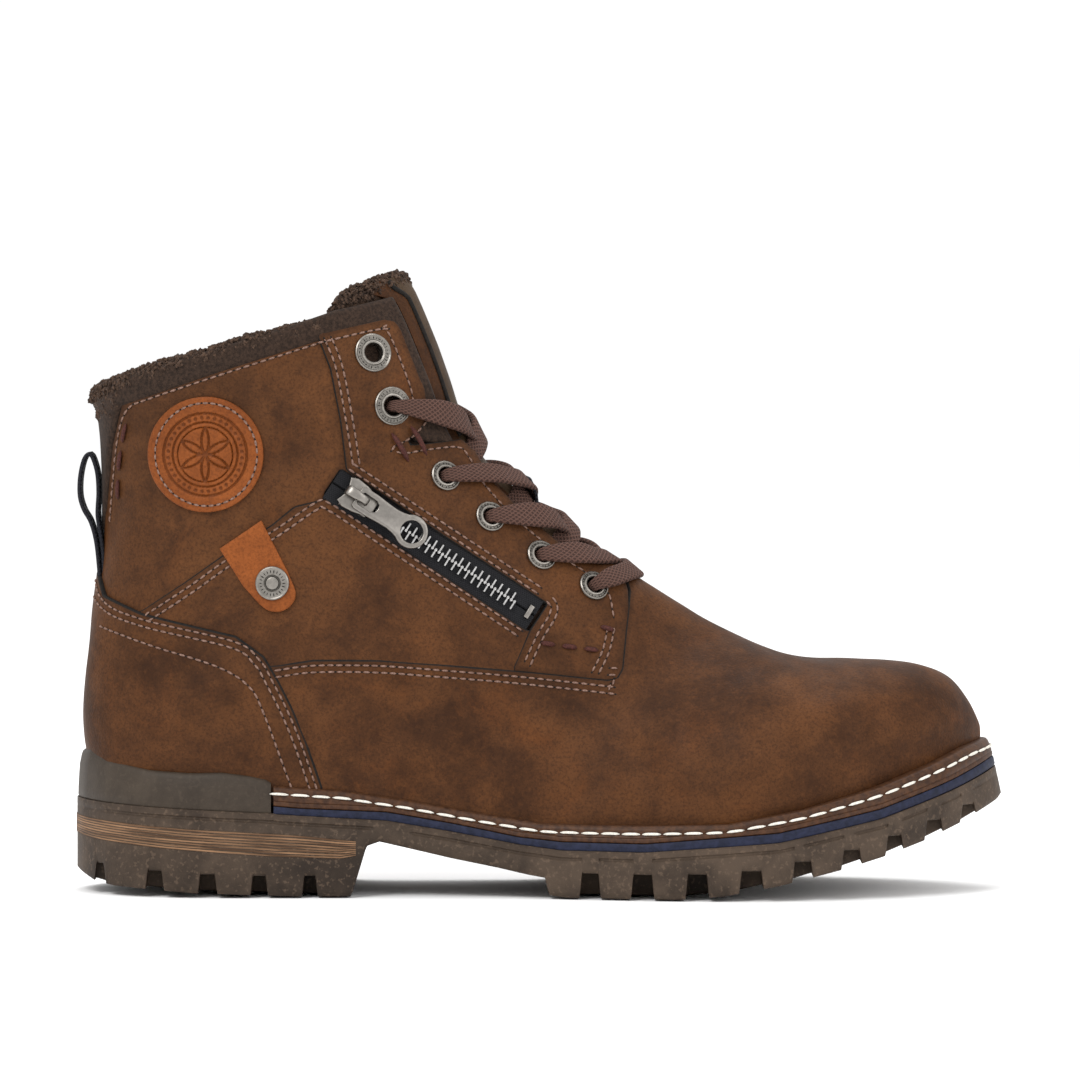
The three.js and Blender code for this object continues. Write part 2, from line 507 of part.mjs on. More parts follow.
add("footbed", body(liningIn - GAP).intersect(below(BOARD + 3 * GAP + FOOTBED))
  .intersect(above(BOARD + 3 * GAP)), "foam");

// ---- Zip ----
const zipA = locate(ZIP_START[0] * kx, ZIP_START[1] * kz, "lateral");
const zipB = locate(ZIP_END[0] * kx, ZIP_END[1] * kz, "lateral");
const zipDir = zipB.point.clone().sub(zipA.point);
const zipLength = zipDir.length() - 2;
zipDir.normalize();
const zipMid = locate(((ZIP_START[0] + ZIP_END[0]) / 2) * kx, ((ZIP_START[1] + ZIP_END[1]) / 2) * kz,
  "lateral");
const zipAcross = new THREE.Vector3().crossVectors(zipMid.normal, zipDir).normalize();
const zipUp = new THREE.Vector3().crossVectors(zipDir, zipAcross).normalize();
const bulge = zipMid.point.clone().sub(zipA.point).dot(zipUp);
const zipFrame = new THREE.Matrix4().makeBasis(zipDir, zipAcross, zipUp)
  .setPosition(zipA.point.clone().addScaledVector(zipDir, 1).addScaledVector(zipUp, Math.max(0, bulge)));
/** Places a geometry drawn along the zip: x along it, y across, z out of the boot. */
const onZip = (geometry) => fromGeometry(geometry.applyMatrix4(zipFrame));
const box = (x0, x1, y0, y1, z0, z1) =>
  new THREE.BoxGeometry(x1 - x0, y1 - y0, z1 - z0).translate((x0 + x1) / 2, (y0 + y1) / 2, (z0 + z1) / 2);
const half = ZIP_WIDTH / 2 - GAP;
const teeth = Math.floor((zipLength - 12) / TOOTH_PITCH);
for (const [name, s] of [["upper", 1], ["lower", -1]]) {
  const [y0, y1] = [Math.min(0.15 * s, half * s), Math.max(0.15 * s, half * s)];
  add(`zip_tape_${name}`, onZip(box(0, zipLength, y0, y1, -1, -0.3)), "black");
  const start = 3 + (s > 0 ? 0 : TOOTH_PITCH / 2);
  const comb = [[2, 3.4 * s], [2, 2.2 * s]];
  for (let i = 0; i < teeth; i++) {
    const x = start + i * TOOTH_PITCH;
    comb.push([x, 2.2 * s], [x, -0.6 * s], [x + 0.95, -0.6 * s], [x + 0.95, 2.2 * s]);
  }
  const end = 4.5 + teeth * TOOTH_PITCH;
  comb.push([end, 2.2 * s], [end, 3.4 * s]);
  const shape = new THREE.Shape(comb.map((p) => new THREE.Vector2(...p)));
  add(`zip_teeth_${name}`, onZip(new THREE.ExtrudeGeometry(shape, { depth: 1.4, bevelEnabled: false })),
    "silver");
}
const stopAt = 5.2 + teeth * TOOTH_PITCH;
add("zip_end_stop", onZip(box(stopAt, stopAt + 2, -3.2, 3.2, 0, 1.5)), "silver");
const SLIDER = { start: 2, length: 12, wide: 5 };
const channel = [[-SLIDER.wide, 0.1], [-4, 0.1], [-4, 1.8], [4, 1.8], [4, 0.1], [SLIDER.wide, 0.1],
  [SLIDER.wide, 2.6], [3.6, 3], [-3.6, 3], [-SLIDER.wide, 2.6]];
const sliderBody = new THREE.ExtrudeGeometry(new THREE.Shape(channel.map((p) =>
  new THREE.Vector2(...p))), { depth: SLIDER.length, bevelEnabled: false });
sliderBody.applyMatrix4(new THREE.Matrix4().makeBasis(new THREE.Vector3(0, 1, 0),
  new THREE.Vector3(0, 0, 1), new THREE.Vector3(1, 0, 0))).translate(SLIDER.start, 0, 0);
const arch = new THREE.Shape([[1, 2.9], [2.6, 2.9], [2.6, 5.2], [7.4, 5.2], [7.4, 2.9], [9, 2.9],
  [9, 5.6], [8, 6.6], [2, 6.6], [1, 5.6]].map((p) => new THREE.Vector2(...p)));
const bridge = new THREE.ExtrudeGeometry(arch, { depth: 2.4, bevelEnabled: false })
  .rotateX(Math.PI / 2).translate(SLIDER.start, 1.2, 0);
add("zip_slider", onZip(sliderBody).add(onZip(bridge)), "silver");
const pull = new THREE.Shape();
pull.moveTo(4.8, -3.1).lineTo(12, -3.1);
pull.bezierCurveTo(16, -2.2, 20, -2.4, 24, -4.2);
pull.absarc(26.5, 0, 4.7, -Math.PI / 1.75, Math.PI / 1.75, false);
pull.bezierCurveTo(20, 2.4, 16, 2.2, 12, 3.1);
pull.lineTo(4.8, 3.1);
const pullSlot = new THREE.Path([[6.3, -1.7], [6.3, 1.7], [11, 1.7], [11, -1.7]].map((p) =>
  new THREE.Vector2(...p)));
const pullHole = new THREE.Path().absarc(26.5, 0, 3, 0, 2 * Math.PI, true);
pull.holes.push(pullSlot, pullHole);
const pullPlate = new THREE.ExtrudeGeometry(pull, { depth: 1.2, bevelEnabled: false, curveSegments: 6 });
add("zip_pull", onZip(pullPlate.translate(SLIDER.start, 0, 3.5)), "silver");

// ---- Patch, tab, rivet ----
const raisedFace = layer(GAP + 1.2, GAP);
const disc = new THREE.CylinderGeometry(PATCH_RADIUS, PATCH_RADIUS, 80, 32)
  .translate(-110 * kx, -60, 145.3 * kz);
add("round_patch", raisedFace.intersect(fromGeometry(disc)), "cognac");
const tabShape = [[-105.3, 114.3], [-91.7, 123.7], [-83, 106.5], [-80.2, 99.5], [-82.5, 95.2],
  [-86.5, 93.8], [-91, 95.5], [-97.5, 102.5]].map(([x, z]) =>
  [x + (-88 * kx + 88), z + (103 * kz - 103)]);
const rivetPlace = locate(-88 * kx, 103 * kz, "lateral");
const rivetHole = fromGeometry(standOn(lathe([[0, -5], [1.6, -5], [1.6, 6], [0, 6]]), rivetPlace));
add("leather_tab", raisedFace.intersect(block(tabShape, ...SIDES.lateral)).subtract(rivetHole),
  "cognac");
add("rivet", fromGeometry(standOn(lathe([[0, 0.4], [1.2, 0.4], [1.2, 2.1], [RIVET_RADIUS, 2.1],
  [RIVET_RADIUS - 0.4, 3], [RIVET_RADIUS - 2.2, 3.4], [RIVET_RADIUS - 3, 2.9], [0, 3]], 20),
  rivetPlace)), "silver");

// ---- Pull loop at the back ----
const loopOuter = [[-151.6, 106], [-150.4, 122.5], [-154.4, 127], [-155.2, 134], [-153.8, 142],
  [-151.2, 145.6], [-149.4, 144.2], [-147.9, 138], [-147.4, 130], [-147.7, 124], [-148.7, 118],
  [-149.9, 106]];
const loopHole = [[-150.4, 126.5], [-152.6, 129], [-153.2, 134], [-152, 141], [-150.9, 142.6],
  [-149.9, 138], [-149.3, 130]];
const loopShape = new THREE.Shape(at(loopOuter).map((p) => new THREE.Vector2(...p)));
loopShape.holes.push(new THREE.Path(reversed(at(loopHole)).map((p) => new THREE.Vector2(...p))));
const loop = new THREE.ExtrudeGeometry(loopShape, { depth: LOOP_WIDTH, bevelEnabled: false })
  .rotateX(Math.PI / 2).translate(0, LOOP_WIDTH / 2, 0);
add("pull_loop", fromGeometry(loop).subtract(body(OVERLAY + GAP)), "black");

// ---- Lace ----
/** A flat band swept along points, each with its normal, width and thickness. */
function ribbon(stations) {
  const points = [];
  const triangles = [];
  stations.forEach(({ p, n, w, t }, i) => {
    const ahead = stations[Math.min(i + 1, stations.length - 1)].p.clone();
    const along = ahead.sub(stations[Math.max(i - 1, 0)].p).normalize();
    const wide = new THREE.Vector3().crossVectors(along, n).normalize();
    const up = new THREE.Vector3().crossVectors(wide, along).normalize();
    for (const [a, b] of [[1, 0], [0.72, 1], [-0.72, 1], [-1, 0], [-0.72, -1], [0.72, -1]]) {
      points.push(p.clone().addScaledVector(wide, (a * w) / 2).addScaledVector(up, (b * t) / 2));
    }
    if (i === 0) return;
    for (let k = 0; k < 6; k++) {
      const [a, b] = [(i - 1) * 6 + k, (i - 1) * 6 + ((k + 1) % 6)];
      triangles.push([a, a + 6, b + 6], [a, b + 6, b]);
    }
  });
  const end = points.length - 6;
  for (let k = 1; k < 5; k++) triangles.push([0, k, k + 1], [end, end + k + 1, end + k]);
  return solidOf(points, triangles);
}
/** Lace centre at a share of the way between two eyelets, v measured from the front ridge. */
function laceSpot(a, b, share, d, w = LACE_WIDTH, t = LACE_THICK) {
  const v0 = a.v > 0.5 ? a.v - 1 : a.v;
  const v1 = b.v > 0.5 ? b.v - 1 : b.v;
  const v = v0 + (v1 - v0) * share;
  const here = spot(a.u + (b.u - a.u) * share, v < 0 ? v + 1 : v);
  return { p: here.point.clone().addScaledVector(here.normal, d), n: here.normal, w, t };
}
const over = OVERLAY + GAP + 0.9 + 2 * GAP + LACE_THICK / 2;
const under = inner - 3 * GAP - LACE_THICK / 2;
const laceParts = [];
for (let i = 1; i < 6; i++) {
  for (const [near, far] of [["lateral", "medial"], ["medial", "lateral"]]) {
    const a = eyeletPlaces[near][i];
    const plug = lathe([[0, under - 0.3], [1.9, under - 0.3], [1.9, over + 0.3], [0, over + 0.3]], 8);
    laceParts.push(fromGeometry(standOn(plug, a)));
    if (i === 5) continue;
    const b = eyeletPlaces[far][i + 1];
    laceParts.push(ribbon([
      laceSpot(a, b, -0.02, over, 3.2), laceSpot(a, b, 0.1, over, 6), laceSpot(a, b, 0.24, over),
      laceSpot(a, b, 0.36, over - 1.8), laceSpot(a, b, 0.48, under + 1), laceSpot(a, b, 0.6, under + 0.2),
      laceSpot(a, b, 0.8, under), laceSpot(a, b, 0.92, under, 5), laceSpot(a, b, 1.02, under, 3.2)]));
  }
}
const [firstL, firstM] = [eyeletPlaces.lateral[5], eyeletPlaces.medial[5]];
laceParts.push(ribbon([-0.02, 0.08, 0.2, 0.35, 0.5, 0.65, 0.8, 0.92, 1.02].map((s) =>
  laceSpot(firstL, firstM, s, over, s < 0.1 || s > 0.9 ? 3.2 : 7))));
add("lace", wasm.Manifold.union(laceParts), "lace");

// Black loop on the tongue's middle, sewn above and below one crossing of the lace
const keeperPlace = spot((eyeletPlaces.lateral[2].u + eyeletPlaces.lateral[3].u) / 2, 0);
const KEEPER = { long: 19, wide: 9, rise: 1.6 };
const foot = tongueOut + 2 * GAP;
const keeper = new THREE.Shape([[-KEEPER.long / 2, foot], [-KEEPER.long / 2 + 1, foot], [-6.2, 0.4],
  [-3.5, KEEPER.rise], [3.5, KEEPER.rise], [6.2, 0.4], [KEEPER.long / 2 - 1, foot],
  [KEEPER.long / 2, foot], [7.1, 0.9], [4, KEEPER.rise + 1], [-4, KEEPER.rise + 1], [-7.1, 0.9],
].map((p) => new THREE.Vector2(...p)));
const along = new THREE.Vector3().crossVectors(keeperPlace.normal, new THREE.Vector3(0, 1, 0));
const keeperSolid = new THREE.ExtrudeGeometry(keeper, { depth: KEEPER.wide, bevelEnabled: false })
  .translate(0, 0, -KEEPER.wide / 2)
  .applyMatrix4(new THREE.Matrix4().makeBasis(along, keeperPlace.normal,
    new THREE.Vector3().crossVectors(along, keeperPlace.normal)))
  .translate(keeperPlace.point.x, keeperPlace.point.y, keeperPlace.point.z);
add("lace_keeper", fromGeometry(keeperSolid), "black");

// Lace ends, tucked down inside the shaft, and their tips
const TAIL_STEPS = 26;
for (const [side, s] of [["lateral", -1], ["medial", 1]]) {
  const path = [[-62, 20, 152], [-72, 22, 130], [-80, 22.5, 100], [-84, 22, 70], [-80, 20, 46],
    [-60, 16, 42], [-30, 17, 40], [-5, 18.5, 35], [10, 14.5, 33], [2, 9, 33], [-25, 6.5, 39],
    [-50, 7, 43]].map(([x, y, z]) => new THREE.Vector3(x * kx, y * s * ky, z * kz));
  const curve = new THREE.CatmullRomCurve3(path);
  const up = new THREE.Vector3(0, 0, 1);
  const line = curve.getSpacedPoints(TAIL_STEPS);
  const stations = line.map((p, i) => {
    const flat = i / TAIL_STEPS > 0.42;
    return { p, n: flat ? up : new THREE.Vector3(0, s, 0), w: 7, t: LACE_THICK };
  });
  add(`lace_tail_${side}`, ribbon(stations), "lace");
  const tip = line[TAIL_STEPS].clone();
  const dir = tip.clone().sub(line[TAIL_STEPS - 1]).normalize();
  const tube = new THREE.CylinderGeometry(1.7, 1.7, 20, 10);
  tube.applyQuaternion(new THREE.Quaternion().setFromUnitVectors(new THREE.Vector3(0, 1, 0), dir));
  tip.addScaledVector(dir, 10.4);
  add(`aglet_${side}`, fromGeometry(tube.translate(tip.x, tip.y, tip.z)), "black");
}

// Stand the part on the floor with its outline centred on the origin
const bounds = new THREE.Box3().setFromObject(group);
const centre = bounds.getCenter(new THREE.Vector3());
for (const mesh of group.children) mesh.geometry.translate(-centre.x, -centre.y, -bounds.min.z);

export default group;
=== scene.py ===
"""Insulated lace-up ankle boot, right foot: upper, collar, tongue, zip, lace, trims and sole."""
import logging
import math
from collections.abc import Callable
from dataclasses import dataclass
from enum import Enum

import bmesh
import bpy
import numpy as np
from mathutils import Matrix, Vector
from mathutils.bvhtree import BVHTree


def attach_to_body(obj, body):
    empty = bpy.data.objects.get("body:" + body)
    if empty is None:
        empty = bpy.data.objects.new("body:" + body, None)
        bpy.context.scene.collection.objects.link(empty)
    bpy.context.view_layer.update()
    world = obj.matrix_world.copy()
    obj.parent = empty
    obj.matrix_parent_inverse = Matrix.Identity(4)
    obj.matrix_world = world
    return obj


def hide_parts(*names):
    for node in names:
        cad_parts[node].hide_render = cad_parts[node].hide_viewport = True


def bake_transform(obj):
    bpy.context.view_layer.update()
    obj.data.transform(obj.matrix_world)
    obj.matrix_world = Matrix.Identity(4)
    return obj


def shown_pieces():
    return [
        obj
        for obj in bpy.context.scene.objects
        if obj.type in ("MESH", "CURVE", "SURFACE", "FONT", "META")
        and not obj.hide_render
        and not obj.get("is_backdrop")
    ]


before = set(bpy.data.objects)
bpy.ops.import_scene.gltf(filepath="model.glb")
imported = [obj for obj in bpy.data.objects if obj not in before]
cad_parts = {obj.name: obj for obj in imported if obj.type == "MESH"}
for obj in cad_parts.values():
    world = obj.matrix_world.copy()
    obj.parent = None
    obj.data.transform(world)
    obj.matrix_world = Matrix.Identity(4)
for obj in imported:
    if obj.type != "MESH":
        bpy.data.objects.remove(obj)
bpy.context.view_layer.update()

LOG = logging.getLogger("boot")
SHIFT = np.array([0.2, 1.0, 0.0])  # from the drawing's origin to the row frame, mm
MM = 1000.0  # millimetres in a metre
UP = np.array([0, 0, 1.0])
Line = list[tuple[float, float]]


class Side(Enum):
    """Which side of the foot, with the sign of its y."""

    LATERAL = -1
    MEDIAL = 1


# Rings of the upper: back x z, front x z, half width, widest share, roundness back and front, y shift
RINGS = [
    (-143, 178, -44.4, 206.2, 31, 0.5, 2.2, 2.1, 0), (-147, 164, -38.5, 193, 35, 0.5, 2.2, 2.1, 0),
    (-146, 149, -30, 172, 36, 0.5, 2.2, 2.1, 0), (-145.3, 127, -21, 150.5, 36, 0.5, 2.2, 2.1, 0),
    (-146.2, 108, -6, 135, 36, 0.48, 2.2, 2.1, 0), (-148.3, 89, 8, 121.5, 36.5, 0.46, 2.3, 2.1, 0),
    (-150.3, 71, 19, 112, 37.3, 0.44, 2.3, 2.1, 0), (-151, 56, 27, 106.5, 37.8, 0.42, 2.4, 2.1, 0),
    (-149.5, 44, 33, 102.2, 38, 0.4, 2.6, 2.1, 0), (-145, 32, 38, 99, 38, 0.38, 2.9, 2.1, 0),
    (-130, 18, 43, 95.8, 37, 0.36, 3, 2.1, 0), (-103, 10, 48, 92.7, 35.8, 0.36, 3, 2.1, -0.5),
    (-70, 7, 53, 89.6, 34.8, 0.36, 3, 2.1, -1), (-35, 5, 58.5, 86.6, 35.5, 0.38, 3, 2.1, -1.5),
    (0, 4, 65, 83.5, 39.5, 0.4, 3, 2.2, -2), (32, 4, 73, 80.2, 45, 0.4, 3, 2.2, -2),
    (58, 6, 82, 77.2, 48.3, 0.4, 3, 2.3, -1.5), (80, 11, 92, 75.6, 47.8, 0.42, 3, 2.3, -1),
    (99, 17.5, 104, 75.3, 44.3, 0.42, 3, 2.4, 0), (114, 24, 116, 74.9, 37.5, 0.42, 3, 2.4, 1),
    (126, 30, 126.5, 73.4, 29.5, 0.45, 2.8, 2.4, 2), (135.5, 36.5, 135.5, 69.3, 20.5, 0.45, 2.6, 2.4, 3),
    (142, 42.5, 141.8, 62, 11, 0.5, 2.2, 2.2, 3.5), (145.3, 48, 145.3, 55, 3.5, 0.5, 2, 2, 4),
    (145.9, 51.3, 145.9, 51.8, 0.5, 0.5, 2, 2, 4),
]
# Plan of the sole: x, half width, middle
PLAN = [
    (-154.8, 0, 0), (-153.6, 7.5, 0), (-150.5, 16, 0), (-143, 26.8, 0), (-130, 36.3, 0), (-112, 40.5, 0),
    (-90, 41, 0), (-65, 39.6, -0.5), (-40, 38.6, -1), (-15, 40, -1.5), (10, 44, -2), (35, 50.4, -2),
    (58, 54, -1.5), (80, 54.5, -1), (100, 50.8, 0), (118, 43, 1), (134, 32.2, 2.5), (146, 19, 3.5),
    (152, 9.5, 4), (154.8, 0, 4),
]
# Lines of the side view, heel to toe
MID_TOP = [(-156, 33), (-120, 31.2), (-87.3, 29.7), (-79.7, 29), (-50.7, 27.7), (-29, 24), (-7.3, 19.7),
           (7, 18.3), (33.7, 18.1), (78, 21.9), (112, 29.1), (137.5, 37.7), (151.1, 42.7), (156, 44.2)]
MID_LOW = [(-156, 29), (-87.3, 27.3), (-79.7, 26.8), (-50.7, 25.1), (-29, 21.5), (-7.3, 17.5), (7, 15.7),
           (33.7, 15.5), (78, 18.9), (112, 26.1), (137.5, 34.7), (152.4, 40.1), (156, 41.3)]
WELT_TOP = [(-87.9, 36.5), (-79.7, 36), (-65.3, 35), (-43.7, 31.7), (-21.8, 27.7), (-0.2, 24.3),
            (14.3, 24), (33.7, 24), (61, 24.8), (86.5, 29.5), (112, 36.3), (129, 42.3), (145.2, 48),
            (156, 50.2)]
CUP_TOP = [(-156, 46), (-151, 47.5), (-145.3, 44), (-130.7, 41.3), (-116.3, 40.5), (-104.7, 40.8),
           (-96, 39.7), (-90.3, 38.5), (-87, 36.5)]
STACK_TOP = [(-156, 25.1), (-116.3, 22.3), (-80.2, 20.4), (-60, 18.3)]
STACK_LOW = [(-156, 19.3), (-148.8, 18), (-123.5, 15.7), (-87.3, 13.2), (-65.7, 12.5), (-60, 13.6)]
GROUND = [(-155, 7.3), (-147.6, 3.7), (-141, 2.7), (-127.6, 2), (-114, 1), (-95, 0.5), (-80, 0),
          (-62.3, 0), (-59.5, 9), (-57.3, 16.5), (-53, 18), (-29, 12.5), (-14.7, 9.7), (-3.7, 7.3),
          (1.6, 6.4), (2.6, 0.7), (8, 0), (46, 0), (60, 1.2), (78, 4.6), (99, 9.7), (112, 13.3),
          (126, 18), (139, 23.3), (152, 29.7), (155, 32)]
GROOVES = [(-147.3, -144.1, 9.8), (-129.7, -124.3, 8.3), (-112.3, -106.7, 7.3), (-95, -90, 6.8),
           (-78, -73.7, 6.8), (13.2, 19.3, 8.1), (30, 36.8, 8), (47.8, 54.7, 8.3), (65.3, 72.5, 9.5),
           (82.7, 88.7, 12.5), (98.9, 104.8, 16), (113.6, 118.8, 20.2), (126.9, 132.3, 24.7),
           (139.2, 143.9, 29)]
COLLAR_EDGE = [(-141, 162), (-138.3, 163), (-107, 174), (-73.7, 184.7), (-52.1, 189.7), (-48.6, 188.9),
               (-46.7, 186.5), (-40.3, 170), (-38.8, 166.9)]
BAND_TOP = [(-160, 168), (-142, 168.8), (-135.3, 172), (-114, 178.3), (-81, 188.3), (-67.3, 193),
            (-60.8, 194.4), (-55.3, 193.7), (-47.4, 190.5), (-41.1, 183.4), (-36.2, 171), (-35, 167)]
BACK_EDGE = [(-146.5, 108), (-144.4, 126), (-142, 148), (-138.3, 163)]
THROAT = [(-38.8, 166.9), (-37, 156.3), (-41.5, 151.5), (-46, 148), (-38, 148.6), (-26.7, 149.7),
          (-22, 145.3), (-16.7, 136.3), (-5, 124), (9.3, 112.5), (20.5, 105.6), (25.5, 101.5)]
VAMP_EDGE = [(-86.3, 76.3), (-74.7, 78), (-53.3, 77.9), (-32, 76.3), (-8.7, 74.2), (22.3, 70.7),
             (25, 71.3), (26.6, 74), (28.3, 91.7), (29, 99), (27, 106)]
COUNTER_EDGE = [(-153, 108), (-147, 107.7), (-143.7, 98), (-131, 92.7), (-100, 85.7), (-90.7, 79),
                (-86.3, 71.8), (-81, 61.3), (-76.7, 50.7), (-71.7, 36), (-70, 28)]
COUNTER_LINE = [(-146.3, 88), (-127.7, 82), (-106.7, 75.7), (-96, 69.3), (-90.7, 59.7), (-82, 36)]
DIAGONAL = [(-134, 92), (-117, 103.3), (-104.3, 112.3), (-88.3, 122.3), (-81, 128.3), (-71.3, 131)]
DIAGONAL_ROW = [(-132, 93.4), (-117, 103.3), (-104.3, 112.3), (-88.3, 122.3), (-81, 127.3)]
FRONT_SEAM = [(-64, 140), (-66, 156.3), (-69.3, 173.3), (-73.7, 184.7)]
ZIP_START, ZIP_END, ZIP_WIDTH = (-67.6, 135.5), (-2.0, 91.9), 10.4
EYELETS = [(-55.7, 178.5, 6.4, 3.2), (-49.3, 161, 6.4, 3.2), (-31.8, 137.7, 5.1, 2.7),
           (-17.1, 124.2, 5.1, 2.7), (-0.2, 111.3, 5.1, 2.7), (17.1, 101, 5.1, 2.7)]
PATCH = (-110.0, 145.3, 19.0)
RIVET = (-88.0, 103.0)


def height(line: Line, x: np.ndarray | float) -> np.ndarray:
    """Height of a side view line at x, mm."""
    p = np.array(line, float)
    return np.interp(x, p[:, 0], p[:, 1])


def signed(outline: Line, x: np.ndarray, z: np.ndarray) -> np.ndarray:
    """Distance to an outline in the side view, positive inside, mm.

    Args:
        outline: its corners in order.
        x, z: where to measure.
    Returns:
        Distances in the shape of x.
    """
    p = np.array(outline, float)
    q = np.roll(p, -1, 0)
    best = np.full(x.shape, 1e9)
    odd = np.zeros(x.shape, bool)
    for (ax, az), (bx, bz) in zip(p, q):
        ex, ez = bx - ax, bz - az
        t = np.clip(((x - ax) * ex + (z - az) * ez) / (ex * ex + ez * ez), 0, 1)
        best = np.minimum(best, np.hypot(x - ax - t * ex, z - az - t * ez))
        if az != bz:
            crossing = (az > z) != (bz > z)
            odd ^= crossing & (x < ax + (z - az) / (bz - az) * ex)
    return np.where(odd, best, -best)


def catmull(a: np.ndarray, b: np.ndarray, c: np.ndarray, d: np.ndarray, t: np.ndarray) -> np.ndarray:
    """The Catmull-Rom curve from b to c at share t."""
    bend, twist = 2 * a - 5 * b + 4 * c - d, 3 * b - a - 3 * c + d
    return 0.5 * (2 * b + (c - a) * t + bend * t ** 2 + twist * t ** 3)


def run_of(points: np.ndarray) -> np.ndarray:
    """Distance walked at each point of a path."""
    return np.concatenate([[0], np.cumsum(np.linalg.norm(np.diff(points, axis=0), axis=1))])


def read_at(want: np.ndarray, along: np.ndarray, values: np.ndarray) -> np.ndarray:
    """Rows of values read at places along a path."""
    return np.stack([np.interp(want, along, column) for column in values.T], 1)


def spaced(points: np.ndarray, step: float) -> np.ndarray:
    """The same path with points at even steps.

    Args:
        points: path, mm.
        step: spacing, mm.
    Returns:
        Array of points.
    """
    along = run_of(points)
    want = np.linspace(0, along[-1], max(2, int(round(along[-1] / step)) + 1))
    return read_at(want, along, points)


def smooth_line(points: Line | np.ndarray, step: float) -> np.ndarray:
    """Points spaced evenly along a smooth curve.

    Args:
        points: control points in 2-D or 3-D, mm.
        step: spacing, mm.
    Returns:
        Array of points.
    """
    p = np.array(points, float)
    pad = np.vstack([2 * p[0] - p[1], p, 2 * p[-1] - p[-2]])
    t = np.linspace(0, 1, 24, endpoint=False)[:, None]
    parts = [catmull(*pad[i:i + 4], t) for i in range(len(p) - 1)]
    return spaced(np.vstack([*parts, p[-1:]]), step)


WIDTHS = smooth_line([(x, half) for x, half, _ in PLAN], 0.5)


def plan_at(x: np.ndarray | float) -> tuple[np.ndarray, np.ndarray]:
    """Half width and middle of the sole at x, mm."""
    return np.interp(x, *WIDTHS.T), height([(at, middle) for at, _, middle in PLAN], x)


def unit(v: np.ndarray) -> np.ndarray:
    """Vectors at length one."""
    return v / np.maximum(np.linalg.norm(v, axis=-1, keepdims=True), 1e-12)


class Last:
    """The upper's smooth face. u counts rings from the collar; v goes round from the front ridge."""

    def __init__(self, rings: list[tuple[float, ...]]) -> None:
        """Takes the rings and adds one past each end."""
        t = np.array(rings, float)
        self.count = len(t)
        self.table = np.vstack([2 * t[0] - t[1], t, 2 * t[-1] - t[-2]])

    def _row(self, u: np.ndarray) -> np.ndarray:
        """Ring values at u: curved between rings, straight past the ends."""
        i = np.clip(np.floor(u).astype(int), 0, self.count - 2)
        f = (u - i)[..., None]
        a, b, c, d = (self.table[i + k] for k in range(4))
        return np.where((f < 0) | (f > 1), b + (c - b) * f, catmull(a, b, c, d, f))

    def face(self, u: np.ndarray, v: np.ndarray) -> np.ndarray:
        """Points of the face itself.

        Args:
            u, v: surface coordinates of the same shape.
        Returns:
            Points, mm.
        """
        u, v = np.broadcast_arrays(np.asarray(u, float), np.asarray(v, float))
        r = self._row(u)
        c, s = np.cos(2 * np.pi * v), np.sin(2 * np.pi * v)
        n = np.where(c > 0, r[..., 7], r[..., 6])
        share = r[..., 5]
        along = np.sign(c) * np.abs(c) ** (2 / n) * np.where(c > 0, 1 - share, share) + share
        x = r[..., 0] + (r[..., 2] - r[..., 0]) * along
        z = r[..., 1] + (r[..., 3] - r[..., 1]) * along
        y = r[..., 8] - np.sign(s) * np.abs(s) ** (2 / n) * np.maximum(r[..., 4], 0.5)
        return np.stack([x, y, z], -1)

    def normal(self, u: np.ndarray, v: np.ndarray) -> np.ndarray:
        """Outward unit normals at surface coordinates."""
        u, v = np.broadcast_arrays(np.asarray(u, float), np.asarray(v, float))
        du = self.face(u + 0.03, v) - self.face(u - 0.03, v)
        dv = self.face(u, v + 0.003) - self.face(u, v - 0.003)
        return unit(np.cross(dv, du))

    def at(self, u: np.ndarray, v: np.ndarray, d: np.ndarray | float) -> np.ndarray:
        """Points at distance d out from the face, mm."""
        d = np.broadcast_to(np.asarray(d, float), np.broadcast(u, v).shape)
        return self.face(u, v) + self.normal(u, v) * d[..., None]

    def locate(self, x: float, z: float, side: Side) -> tuple[float, float]:
        """Surface coordinates of a point of the side view.

        Args:
            x, z: side view position, mm.
            side: which side of the boot.
        Returns:
            u and v.
        """
        lo_u, hi_u, lo_v, hi_v = 0.0, self.count - 1.001, 0.005, 0.495
        for _ in range(7):
            u, v = np.meshgrid(np.linspace(lo_u, hi_u, 61), np.linspace(lo_v, hi_v, 61), indexing="ij")
            p = self.face(u, v)
            k = np.argmin((p[..., 0] - x) ** 2 + (p[..., 2] - z) ** 2)
            bu, bv = u.flat[k], v.flat[k]
            su, sv = (hi_u - lo_u) / 12, (hi_v - lo_v) / 12
            lo_u, hi_u = max(0.0, bu - su), min(self.count - 1.001, bu + su)
            lo_v, hi_v = max(0.001, bv - sv), min(0.499, bv + sv)
        return bu, (bv if side is Side.LATERAL else 1 - bv)


LAST = Last(RINGS)


# ---- Meshes ----
def placed(name: str, data: bpy.types.ID) -> bpy.types.Object:
    """A new object in the scene."""
    obj = bpy.data.objects.new(name, data)
    bpy.context.scene.collection.objects.link(obj)
    return obj


def remember(mesh: bpy.types.Mesh, name: str, values: np.ndarray) -> None:
    """Keeps a number or a vector for each point of a mesh as an attribute."""
    vector = np.ndim(values) > 1
    data = mesh.attributes.new(name, "FLOAT_VECTOR" if vector else "FLOAT", "POINT").data
    data.foreach_set("vector" if vector else "value", np.asarray(values, float).ravel())


def in_metres(points: np.ndarray) -> list:
    """Points of the drawing put in the row frame, in metres."""
    return ((np.asarray(points) + SHIFT) / MM).tolist()


